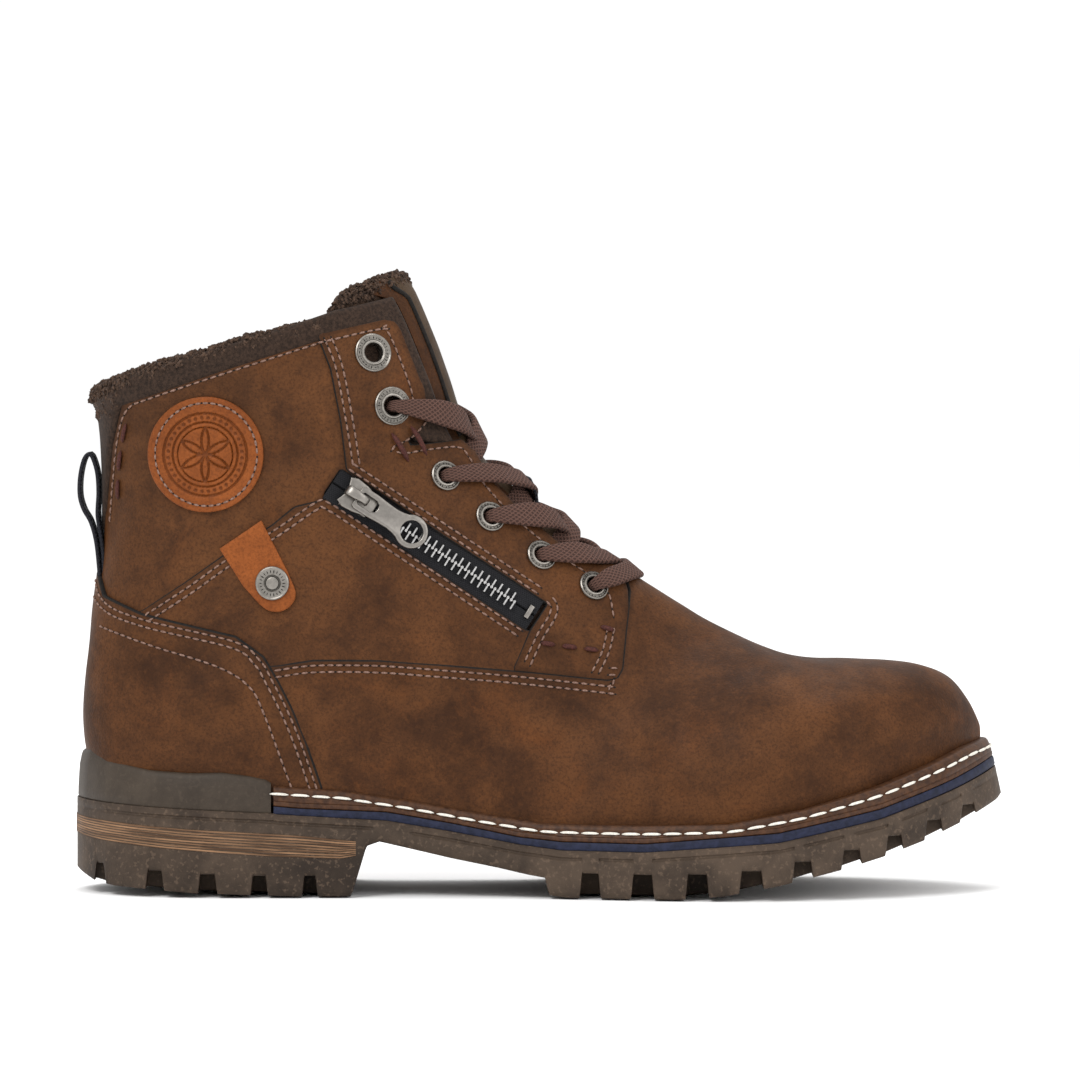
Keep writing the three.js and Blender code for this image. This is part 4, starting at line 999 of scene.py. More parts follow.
# ---- Repeated pieces ----
def scatter_tree(name: str, turned: bool) -> bpy.types.NodeTree:
    """Geometry nodes that put a small shape on each point of a mesh.

    Args:
        name: tree name.
        turned: True turns each by its aim and face attributes, False gives a random turn.
    Returns:
        The tree.
    """
    tree = bpy.data.node_groups.new(name, "GeometryNodeTree")
    sockets(tree, "IN", {"Geometry": "Geometry", "Shape": "Object", "Finish": "Material", "Seed": "Int",
                         "Least": "Float", "Most": "Float"})
    sockets(tree, "OUT", {"Geometry": "Geometry"})
    n = Nodes(tree)
    start, end = n.add("NodeGroupInput"), n.add("NodeGroupOutput")
    shape = n.add("GeometryNodeObjectInfo", {"Object": start.outputs["Shape"]})
    size = n.add("FunctionNodeRandomValue", {"Seed": start.outputs["Seed"], 2: start.outputs["Least"],
                                             3: start.outputs["Most"]}, data_type="FLOAT")
    if turned:
        aim, out = (n.add("GeometryNodeInputNamedAttribute", {"Name": key}, data_type="FLOAT_VECTOR")
                    for key in ("aim", "face"))
        first = n.add("FunctionNodeAlignRotationToVector", {"Vector": out.outputs[0]}, axis="Z")
        turn = n.add("FunctionNodeAlignRotationToVector", {"Rotation": first.outputs[0],
                     "Vector": aim.outputs[0]}, axis="X", pivot_axis="Z").outputs[0]
    else:
        any_turn = n.add("FunctionNodeRandomValue", {"Seed": start.outputs["Seed"], 1: (math.tau,) * 3},
                         data_type="FLOAT_VECTOR")
        turn = n.add("FunctionNodeEulerToRotation", {0: any_turn.outputs[0]}).outputs[0]
    put = n.add("GeometryNodeInstanceOnPoints", {"Points": start.outputs["Geometry"],
                "Instance": shape.outputs["Geometry"], "Rotation": turn, "Scale": size.outputs[1]})
    real = n.add("GeometryNodeRealizeInstances", {0: put.outputs[0]})
    dress = n.add("GeometryNodeSetMaterial", {"Geometry": real.outputs[0],
                                              "Material": start.outputs["Finish"]})
    tree.links.new(dress.outputs[0], end.inputs[0])
    return tree


class Scatter:
    """Puts copies of a small shape on points, baked to one mesh."""

    def __init__(self) -> None:
        """Makes the two node trees."""
        self.trees = {True: scatter_tree("place_along", True), False: scatter_tree("place_any", False)}

    def make(self, name: str, shape: bpy.types.Object, points: np.ndarray, material: bpy.types.Material,
             face: np.ndarray | None = None, aim: np.ndarray | None = None,
             sizes: tuple[float, float] = (1.0, 1.0), seed: int = 1) -> bpy.types.Object:
        """Builds the copies.

        Args:
            name: object name.
            shape: the small shape, at the origin, in metres.
            points: where they go, mm.
            material: their finish.
            face: outward direction at each, or None for any turn.
            aim: direction of their length at each.
            sizes: least and most size factor.
            seed: fixed seed of the random sizes.
        Returns:
            One mesh object.
        """
        mesh = bpy.data.meshes.new(name)
        mesh.from_pydata(in_metres(points), [], [])
        if face is not None:
            remember(mesh, "face", face)
            remember(mesh, "aim", aim)
        obj = placed(name, mesh)
        tree = self.trees[face is not None]
        mod = obj.modifiers.new("place", "NODES")
        mod.node_group = tree
        ids = {s.name: s.identifier for s in tree.interface.items_tree if s.in_out == "INPUT"}
        for key, value in (("Shape", shape), ("Finish", material), ("Seed", seed), ("Least", sizes[0]),
                           ("Most", sizes[1])):
            mod[ids[key]] = value
        bpy.context.view_layer.update()
        baked = bpy.data.meshes.new_from_object(obj.evaluated_get(bpy.context.evaluated_depsgraph_get()))
        obj.modifiers.clear()
        obj.data = baked
        if not baked.materials:
            baked.materials.append(material)
        return obj


def small_shape(name: str, grid: np.ndarray, smooth: bool = True) -> bpy.types.Object:
    """A small closed shape, kept out of the scene.

    Args:
        name: object name.
        grid: rings of points, mm.
        smooth: shade it smooth.
    Returns:
        The object.
    """
    grid = np.asarray(grid, float)
    mesh = bpy.data.meshes.new(name)
    mesh.from_pydata((grid.reshape(-1, 3) / MM).tolist(), [], loft(*grid.shape[:2]))
    if smooth:
        mesh.shade_smooth()
    else:
        mesh.shade_flat()
    return bpy.data.objects.new(name, mesh)


def seed_shape(name: str, length: float, width: float, high: float, arch: float = 0.0,
               rings: int = 5, sides: int = 6) -> bpy.types.Object:
    """A small rounded bar along X.

    Args:
        name: object name.
        length, width, high: size, mm.
        arch: how far its middle rises, mm.
        rings, sides: how finely it is made.
    Returns:
        The object.
    """
    t, a = np.linspace(-1, 1, rings)[:, None], np.arange(sides) * math.tau / sides
    r = np.maximum(0.25, np.sqrt(np.maximum(0, 1 - t ** 4)))
    return small_shape(name, np.stack([t * length / 2 + 0 * a, np.cos(a) * r * width / 2,
                                       np.sin(a) * r * high / 2 + arch * (1 - t * t)], -1))


class Sewing:
    """Rows of stitches laid on whatever lies outermost."""

    def __init__(self, scatter: Scatter) -> None:
        """Starts with no rows."""
        self.scatter = scatter
        self.tree: BVHTree | None = None
        self.rows: dict[str, list[tuple[np.ndarray, np.ndarray, np.ndarray]]] = {}

    def lay_on(self, objects: list[bpy.types.Object]) -> None:
        """Takes the pieces the stitches go through.

        Args:
            objects: the upper's panels.
        """
        points, faces = [], []
        for o in objects:
            base = len(points)
            points += [tuple(v.co) for v in o.data.vertices]
            faces += [tuple(base + i for i in f.vertices) for f in o.data.polygons]
        self.tree = BVHTree.FromPolygons(points, faces)

    def drop(self, x: float, z: float, side: Side) -> tuple[np.ndarray, np.ndarray] | None:
        """The outermost point at a side view position, and its normal.

        Args:
            x, z: side view position, mm.
            side: from which side.
        Returns:
            Point in mm of the drawing and unit normal, or None off the boot.
        """
        start = Vector(in_metres(np.array([x, 0, z])))
        start.y = side.value * 0.2
        hit, normal, _, _ = self.tree.ray_cast(start, Vector((0, -side.value, 0)))
        if hit is None:
            return None
        n = np.array(normal)
        if n[1] * side.value < 0:
            n = -n
        return np.array(hit) * MM - SHIFT, n

    def row(self, kind: str, line: Line, pitch: float, offset: float = 0.0,
            sides: tuple[Side, ...] = tuple(Side), lift: float = 0.1, smooth: bool = True) -> None:
        """Lays a row of stitches.

        Args:
            kind: key of the rows sewn with one thread.
            line: side view line.
            pitch: distance between stitches, mm.
            offset: how far the row lies to the left of the line, mm.
            sides: on which sides.
            lift: height above the piece, mm.
            smooth: draw a curve through the points instead of straight lines.
        """
        fine = smooth_line(line, 0.4) if smooth else spaced(np.array(line, float), 0.4)
        t = unit(np.gradient(fine, axis=0))
        fine = fine + np.stack([-t[:, 1], t[:, 0]], 1) * offset
        for side in sides:
            found = [self.drop(x, z, side) for x, z in fine]
            run = [f for f in found if f is not None]
            if len(run) < 4:
                continue
            p = np.array([f[0] for f in run])
            m = unit(np.array([f[1] for f in run]))
            for _ in range(3):
                m[1:-1] = unit(m[:-2] + m[1:-1] + m[2:])
            gaps = np.linalg.norm(np.diff(p, axis=0), axis=1)
            along = np.concatenate([[0], np.cumsum(np.minimum(gaps, 3.0))])
            want = np.arange(pitch / 2, along[-1], pitch)
            at = read_at(want, along, p)
            out = unit(read_at(want, along, m))
            way = unit(read_at(want + 0.4, along, p) - read_at(want - 0.4, along, p))
            self.rows.setdefault(kind, []).append((at + out * lift, out, way))
            # painted shade: a dark seed half a pitch on from each stitch, where the thread dives into its
            # hole
            if kind in ("thin", "patch"):
                self.rows.setdefault("hole", []).append((at + way * pitch / 2 + out * 0.02, out, way))

    def finish(self, name: str, kinds: dict[str, bpy.types.Object], material: bpy.types.Material,
               ) -> bpy.types.Object:
        """Bakes the rows of one thread into one piece.

        Args:
            name: object name.
            kinds: the stitch shape of each kind of row.
            material: the thread.
        Returns:
            The piece.
        """
        made = []
        for kind, shape in kinds.items():
            rows = self.rows.pop(kind, [])
            if not rows:
                continue
            p, m, t = (np.vstack([r[k] for r in rows]) for k in range(3))
            made.append(self.scatter.make(f"{name}_{kind}", shape, p, material, m, t, (0.94, 1.04), 5))
        whole = joined(name, made) if len(made) > 1 else made[0]
        whole.name = name
        return whole


# ---- The boot ----
def capsule(a: tuple[float, float], b: tuple[float, float], half: float, x: np.ndarray, z: np.ndarray,
            end: float = 0.0) -> np.ndarray:
    """Distance inside a straight slot in the side view.

    Args:
        a, b: its ends, mm.
        half: half its width.
        x, z: where to measure.
        end: how far it runs on past its ends.
    Returns:
        Distances, positive inside.
    """
    p, q = np.array(a, float), np.array(b, float)
    t = unit(q - p)
    along = (x - p[0]) * t[0] + (z - p[1]) * t[1]
    across = np.abs(-(x - p[0]) * t[1] + (z - p[1]) * t[0])
    return np.minimum(half - across, np.minimum(along + end, np.linalg.norm(q - p) + end - along))


@dataclass
class Upper:
    """Leather panels of the upper, their seams and stitches."""

    shop: Shop
    skin: Skin
    sewing: Sewing
    row_inset: float = 2.0
    row_apart: float = 2.2
    pitch: float = 2.9

    def build_panels(self) -> None:
        """Cuts the panels from the last's face."""
        s, m, rim = self.skin, self.shop.made, self.shop.made["cut_edge"]
        x, y, z = (s.p[..., k] for k in range(3))
        far = np.full(x.shape, 99.0)
        sole = z - height(MID_TOP, x) - 0.5
        vamp = signed(VAMP_EDGE + [(60, 130), (190, 130), (190, -40), (-60, -40), (-78, 20), (-80, 36),
                                   (-86, 50.7), (-90, 61.3), (-93, 76)], x, z)
        counter = signed(COUNTER_EDGE + [(-70, -40), (-190, -40), (-190, 108)], x, z)
        window = capsule(ZIP_START, ZIP_END, ZIP_WIDTH / 2 + 0.1, x, z, 1.2)
        eyestay = signed([(-3.7, 87.3), (-9, 75.3), (-8.7, 71), (22.3, 68), (25.6, 70), (27.6, 74),
                          (29.1, 91.7), (28.8, 99), (26.6, 106), (24.5, 113), (20.8, 113), (18.5, 108.4)]
                         + THROAT[::-1][2:]
                         + COLLAR_EDGE[::-1][1:5] + FRONT_SEAM[::-1] + [(-0.3, 96.5)], x, z)
        ankle = signed([(-58, 128), (-78, 123), (-86, 117), (-102, 107), (-115, 98), (-134, 87), (-190, 87),
                        (-190, 130)] + BACK_EDGE[1:] + COLLAR_EDGE[2:4]
                       + [(-69, 184), (-65, 172), (-62, 156), (-58, 140)], x, z)
        lower = signed([(-116, 56), (-134, 92)] + DIAGONAL[1:5] + [(-71.6, 130.6), (-66, 135), (-58, 139),
                                                                   (4, 97), (8, 66), (-60, 60)], x, z)
        behind = signed([(-72, 190), (-66, 150), (-52, 126), (-20, 99), (2, 89), (20, 80), (26, 84), (26, 96),
                         (18, 104), (9.3, 110), (-5, 121), (-16.7, 133), (-27.5, 146), (-38.5, 157),
                         (-42, 170), (-48.5, 186), (-56, 189)], x, z)
        cuts = [("vamp", [vamp, sole], 1.0, -1.5, 0.62), ("heel_counter", [counter, sole], 1.5, 0.2, 0.7)]
        for side in Side:
            own, tag = side.value * y - 0.12, side.name.lower()
            hole = far
            for ex, ez, _, bore in EYELETS:
                centre = LAST.face(*LAST.locate(ex, ez, side))
                hole = np.minimum(hole, np.linalg.norm(s.p - centre, axis=-1) - bore - 0.7)
            slit = -window if side is Side.LATERAL else far
            cuts += [(f"ankle_panel_{tag}", [ankle, own, slit], 0.0, -0.6, 0.3),
                     (f"side_panel_{tag}", [lower, own, slit, sole], 0.6, -0.6, 0.45),
                     (f"eyestay_{tag}", [eyestay, slit, hole, -vamp + 0.5, own], 1.15, -1.8, 0.35)]
            gusset = panel(s, f"tongue_gusset_{tag}", np.minimum(behind, own), -1.9, m["felt"], m["felt"],
                           drop=0.3, back=-2.7, lumps=0)
            attach(gusset, "felt")
        made = [panel(s, name, np.minimum.reduce(fields), rise, m["leather"], rim, foot=foot, ink=ink)
                for name, fields, rise, foot, ink in cuts]
        self.sewing.lay_on(made)
        for obj, (name, *_) in zip(made, cuts):
            attach(obj, "upper_leather", name)

    def sew(self) -> None:
        """Lays all the rows of thread."""
        w, a, p = self.sewing, self.row_inset, self.pitch
        for off in (-a, -a - self.row_apart):
            w.row("thin", COUNTER_EDGE[1:-1], p, off)
            w.row("thin", [(-88, 76.3)] + VAMP_EDGE[1:6] + [(23.4, 70.4)], p, off)
            w.row("thin", DIAGONAL_ROW + [(-75.5, 130.6)], p, off, (Side.MEDIAL,))
            w.row("thin", DIAGONAL_ROW + [(-75.5, 130.9), (-71.6, 132.3), (-67.5, 130.5), (-60, 125.7),
                                          (-10, 92.1), (-4.6, 88.5)], p, off, (Side.LATERAL,))
            w.row("thin", [(-63.6, 141), (-66, 156.3), (-69.3, 173.3), (-73.3, 183.5)], p, off)
        for off in (1.6, 3.8):
            w.row("thin", [(-64.2, 139.4), (-1.4, 97.6)], p, off, smooth=False)
            w.row("thin", [(0.8, 96.6), (2.2, 93.5), (-2.0, 86.3), (-6.6, 76.5)], p, off - 0.6)
        w.row("thin", COUNTER_LINE, p)
        w.row("thin", [(-142.9, 122), (-141.6, 136), (-140.2, 148), (-138.2, 156.5), (-135.4, 160.8),
                       (-131, 162.8), (-106, 171.2), (-72.8, 181.9)], p)
        w.row("thin", [(-73.7, 184.7), (-52.4, 189.2), (-47.8, 186.4), (-41, 170), (-39.4, 163.5)], p, -2.8)
        w.row("thin", [(-39.3, 158), (-37.6, 156.4), (-41.5, 151.8), (-44.6, 149.6), (-48.6, 147.2),
                       (-45, 145.6), (-38, 146.6), (-27.6, 147.3), (-23.8, 144), (-18.4, 134.8),
                       (-6.5, 122.2), (7.8, 110.6), (18.5, 103.4), (22.5, 98.6), (24, 92)], p)
        for off in (0, self.row_apart):
            w.row("thin", [(24.4, 88), (22.6, 80), (19, 72.6)], p, -off)
        for kind, line, pitch, lift in (
                ("accent_long", [(-136.4, 156.6), (-138.2, 147.7), (-139.4, 137.8), (-139.6, 128.2)],
                 9.6, 0.5),
                ("accent_short", [(-1.2, 83.4), (6, 82.2), (21.5, 80)], 7.4, 0.35),
                ("accent_short", [(19.4, 88.2), (25, 86.6)], 5.6, 0.35),
                ("accent_bar", [(-49.2, 152), (-43.7, 142.8)], 10.6, 0.7),
                ("accent_bar", [(-43.6, 155.0), (-38.5, 144.6)], 11.4, 1.5)):
            w.row(kind, line, pitch, lift=lift, smooth=kind != "accent_bar")


@dataclass
class Collar:
    """Felt band, fleece roll, wadding and lining round the top."""

    shop: Shop
    skin: Skin
    scatter: Scatter
    roll_radius: float = 4.3

    def rim_line(self) -> tuple[np.ndarray, np.ndarray, np.ndarray]:
        """Path of the collar's crest, open at the front.

        Returns:
            u, v and the fullness at each station.
        """
        v = np.linspace(0.168, 0.832, 150)
        half = np.abs(v - 0.5)
        z = np.interp(half, [0, 0.05, 0.1, 0.2, 0.25, 0.332], [162.5, 164.5, 168.0, 175.5, 181.0, 187.5])
        u = np.zeros(len(v))
        for k, (vv, zz) in enumerate(zip(v, z)):
            us = np.linspace(-0.2, 3, 161)
            u[k] = us[np.argmin(np.abs(LAST.face(us, np.full(161, vv))[:, 2] - zz))]
        full = np.clip((0.34 - half) / 0.03, 0.35, 1)
        return u, v, full

    def build_parts(self) -> None:
        """Builds the band, the roll with its curls, the wadding and the lining."""
        m, s = self.shop.made, self.skin
        x, y, z = (s.p[..., k] for k in range(3))
        gap = np.where(x < -100, 99.0, np.abs(y) - 18.2)
        outer = signed([(-145.2, 119)] + BACK_EDGE[1:3] + COLLAR_EDGE[1:] + BAND_TOP[::-1]
                       + [(-190, 160), (-190, 118)], x, z)
        grown = signed([(-190, 118), (-150, 126), (-146, 148), (-139, 160.6), (-107, 171.5), (-73.7, 182),
                        (-54, 187), (-49, 184.5), (-43.5, 169), (-42, 150), (-20, 146), (-10, 190),
                        (-38, 200), (-60.8, 194.4), (-81, 188.3), (-114, 178.3), (-135.3, 172),
                        (-190, 160)], x, z)
        band = panel(s, "collar_band", np.minimum(np.maximum(outer, grown), gap), 0.9, m["felt"], m["felt"],
                     foot=-2, drop=1.8, roll=2.4, back=-4.6, lumps=0.2)
        u, v, full = self.rim_line()
        core = LAST.at(u, v, -3.8 + 2.6 * np.clip(1 - np.abs(v - 0.5) / 0.12, 0, 1))
        n = LAST.normal(u, v)
        ups = unit(np.stack([np.zeros(len(u)), np.zeros(len(u)), np.ones(len(u))], 1) + n * 0.2)
        roll = sweep("collar_fleece", core, ups, round_profile(self.roll_radius, 16), m["fleece"],
                     np.stack([full * 0.85, full], 1))
        attach(band, "felt", "collar_band")
        attach(roll, "fleece")
        mesh = Skin(5, 120)
        mx, mz = mesh.p[..., 0], mesh.p[..., 2]
        floor = mz - height(MID_TOP, mx) - 2
        top = signed([(-190, 156), (-139, 168), (-113.5, 176), (-80.5, 186), (-68, 190), (-55, 190.5),
                      (60, 196), (60, -60), (-190, -60)], mx, mz)
        throat = -signed([(24, 87), (5, 92), (-12, 103), (-36, 121), (-49, 140), (-57, 160), (-66, 184),
                          (-68, 206), (60, 230), (60, 87)], mx, mz)
        wad = panel(mesh, "insulation", np.minimum.reduce([top - 3, throat, floor]), -2.1, m["wadding"],
                    m["wadding"], drop=0, roll=0.5, back=-5.1, lumps=0)
        lining = panel(mesh, "lining", np.minimum.reduce([top, throat, floor]), -5.4, m["fleece"],
                       m["fleece"], drop=0, roll=0.5, back=-9.6, lumps=0)
        for o, slot, node in ((wad, "insulation_foam", "insulation"), (lining, "fleece", "lining")):
            attach(o, slot, node)
        self._curls(core, n, full)

    def _curls(self, core: np.ndarray, n: np.ndarray, full: np.ndarray) -> None:
        """Covers the roll, the back corner and the lining with curls.

        Args:
            core, n, full: the roll's path, its normals and its fullness.
        """
        rng = np.random.default_rng(11)
        curl, fleece = curl_shape("curl_seed", 1.25), self.shop.made["fleece"]
        count = 5200
        k = rng.integers(0, len(core) - 1, count)
        t = rng.random(count)[:, None]
        a = rng.uniform(-math.pi * 0.95, math.pi * 0.55, count)
        r = self.roll_radius * full[k] * rng.uniform(0.86, 1.12, count)
        crest = (core[k] * (1 - t) + core[k + 1] * t + (np.sin(a) * r * 0.85)[:, None] * n[k]
                 + (np.cos(a) * r)[:, None] * UP)
        u, v = rng.uniform(0.2, 1.55, 1500), 0.5 + rng.uniform(-0.105, 0.105, 1500)
        back = LAST.at(u, v, -0.2)
        back = back[(back[:, 0] < np.interp(back[:, 2], [126, 148, 163, 172], [-146, -142.6, -139.5, -134]))
                    & (back[:, 2] < np.interp(back[:, 0], [-147, -141, -134], [160, 167, 170]))]
        u, v = rng.uniform(0.25, 4.6, 9000), rng.uniform(0.17, 0.83, 9000)
        inner = LAST.at(u, v, -9.7)
        inner = inner[inner[:, 2] < np.interp(np.abs(v - 0.5), [0, 0.1, 0.2, 0.332], [158, 164, 172, 184])]
        for name, points, sizes, seed in (("collar_curls", crest, (0.6, 1.25), 3),
                                          ("back_curls", back, (0.8, 1.5), 13),
                                          ("lining_curls", inner, (0.8, 1.5), 4)):
            attach(self.scatter.make(name, curl, points, fleece, sizes=sizes, seed=seed), "fleece")


def curl_shape(name: str, size: float) -> bpy.types.Object:
    """A little ring of wool.

    Args:
        name: object name.
        size: its outer radius, mm.
    Returns:
        The object.
    """
    turns, sides = 7, 4
    i, b = np.arange(turns)[:, None], np.arange(sides) * math.tau / sides
    a, out = i / (turns - 1) * math.pi * 1.6, 0.6 + 0.42 * np.cos(b)
    return facing_out(small_shape(name, size * np.stack([np.cos(a) * out, np.sin(a) * out,
                                                         0.21 * i / turns + 0.42 * np.sin(b)], -1)))


@dataclass
class Tongue:
    """Padded tongue with its fleece roll and piping; fold_start and fold_end hold two places in metres and
    are not used.
    """

    shop: Shop
    scatter: Scatter
    half: float = 17.0
    fold_start: tuple[float, float, float] = (-0.0290, 0.001, 0.1540)
    fold_end: tuple[float, float, float] = (-0.0400, 0.001, 0.1790)

    def _half_v(self, u: np.ndarray) -> np.ndarray:
        """Half width of the tongue as a share of the way round.

        Args:
            u: where along it.
        Returns:
            Shares.
        """
        v = np.linspace(0.01, 0.24, 80)
        out = np.zeros(len(u))
        for k, uu in enumerate(u):
            y = np.abs(LAST.face(np.full(80, uu), v)[:, 1] - LAST.face(np.array(uu), np.array(0.0))[1])
            want = np.interp(uu, [-0.15, 0.35, 0.7, 8], [23, 22, self.half, self.half])
            out[k] = np.interp(want, y, v)
        return out

    def build_parts(self) -> None:
        """Builds the pad, its side pieces, the piping and the roll."""
        m = self.shop.made
        rows = np.concatenate([np.linspace(0.08, 1.0, 40), np.linspace(1.0, 7.9, 110)[1:]])
        half = self._half_v(rows)
        outer = np.interp(rows, [-0.2, 0.6, 1.6, 2.6, 3.4, 7, 8], [-1.6, -0.6, -0.5, -1.6, -3.0, -3.0, -4.4])
        thick = np.interp(rows, [-0.2, 0.5, 1.8, 3.2, 8], [7, 9, 8.5, 4.5, 3.2])
        sag = np.interp(rows, [2, 3.4], [2.2, 6.5])
        cols = np.linspace(-1, 1, 49)
        across = np.sign(cols) * np.abs(cols) ** 0.85
        crown = 1 - np.abs(cols) ** 6 * 0.35
        quilt = 0.5 * np.exp(-((np.abs(cols)[None, :] - 0.62) / 0.05) ** 2) * (rows[:, None] < 3)
        u, v = rows[:, None] + 0 * across, (half[:, None] * across) % 1.0
        front = LAST.at(u, v, outer[:, None] - (1 - crown) * sag[:, None] - quilt)
        back = LAST.at(u, v, (outer - thick)[:, None] + (1 - crown) * 2.2)
        side = np.concatenate([np.abs(cols + 0.02) > 0.62, np.ones(len(cols), bool)])
        dark = np.concatenate([np.tile(side, len(rows) - 1), [True, True]])
        pad = lofted("tongue_pad", np.concatenate([front, back[:, ::-1]], 1), m["olive_leather"], 60,
                     second=m["leather"], use_second=dark)
        attach(pad, "upper_leather", "tongue_lower", "tongue_top", body="")
        parts = [pad]
        u = np.linspace(0.14, 2.9, 90)
        hv = self._half_v(u)
        for sign in (1, -1):
            v = (hv * sign * 0.66) % 1.0
            d = np.interp(u, [-0.2, 0.6, 1.6, 2.6, 3.4], [-1.6, -0.6, -0.5, -1.6, -3.0]) - 0.1
            pipe = sweep(f"tongue_piping_{'outer' if sign > 0 else 'inner'}", LAST.at(u, v, d),
                         LAST.normal(u, v), round_profile(0.85, 8), m["piping"])
            attach(pipe, "webbing_black", body="")
            parts.append(pipe)
        v = np.linspace(-0.17, 0.17, 90)
        u0 = np.interp(np.abs(v), [0, 0.1, 0.17], [0.02, -0.02, 0.12])
        core, n = LAST.at(u0, v % 1.0, -5.0) - 4.4 * UP, LAST.normal(u0, v % 1.0)
        ends = np.clip((0.172 - np.abs(v)) / 0.02, 0.25, 1)
        roll = sweep("tongue_fleece", core, unit(n * 0.2 + UP), round_profile(4.6, 16), m["fleece"],
                     np.stack([ends * 1.05, ends * 0.95], 1))
        rng = np.random.default_rng(21)
        count = 2600
        k = rng.integers(0, len(core) - 1, count)
        a = rng.uniform(0, math.tau, count)
        r = 4.7 * ends[k] * rng.uniform(0.88, 1.1, count)
        pts = core[k] + (np.sin(a) * r)[:, None] * n[k] + (np.cos(a) * r * 0.95)[:, None] * UP
        pts += rng.normal(0, 0.3, pts.shape)
        curls = self.scatter.make("tongue_curls", curl_shape("curl_seed_b", 1.25), pts, m["fleece"],
                                  sizes=(0.6, 1.2), seed=9)
        for o in (roll, curls):
            attach(o, "fleece", body="tongue")
        for o in parts:
            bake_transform(o)


@dataclass
class Eyelet:
    """One cast eyelet with a notched face."""

    name: str
    u: float
    v: float
    outer: float
    bore: float

    def build_piece(self, shop: Shop) -> tuple[np.ndarray, np.ndarray, np.ndarray]:
        """Builds the turned body and places its notches.

        Args:
            shop: finishes.
        Returns:
            Places, normals and directions of the notches.
        """
        p, n = LAST.face(self.u, self.v), LAST.normal(self.u, self.v)
        o, b, low, high = self.outer, self.bore, -1.5, 1.15
        profile = [(b, low), (b + 0.5, low), (b + 0.5, high), (o - 0.15, high), (o, high + 0.2),
                   (o - 0.1, high + 0.6), (o - 0.45, high + 0.85), (o - 0.8, high + 0.62),
                   (b + 1.15, high + 0.7), (b + 0.85, high + 1.1), (b + 0.45, high + 1.15),
                   (b + 0.12, high + 0.95), (b, high + 0.5)]
        attach(lathe(self.name, profile, p, n, shop.made["silver"], 56), "antique_metal", self.name)
        mid = (o - 0.8 + b + 1.15) / 2
        count = int(mid * math.tau / 1.15)
        rng = np.random.default_rng(int(self.u * 1000))
        ray, tangent = spokes(n, (np.arange(count) + rng.uniform(-0.2, 0.2, count)) / count * math.tau)
        aim = np.where((rng.random(count) < 0.3)[:, None], tangent, ray)
        return p + ray * mid + n * (high + 0.7), np.repeat(n[None], count, 0), aim


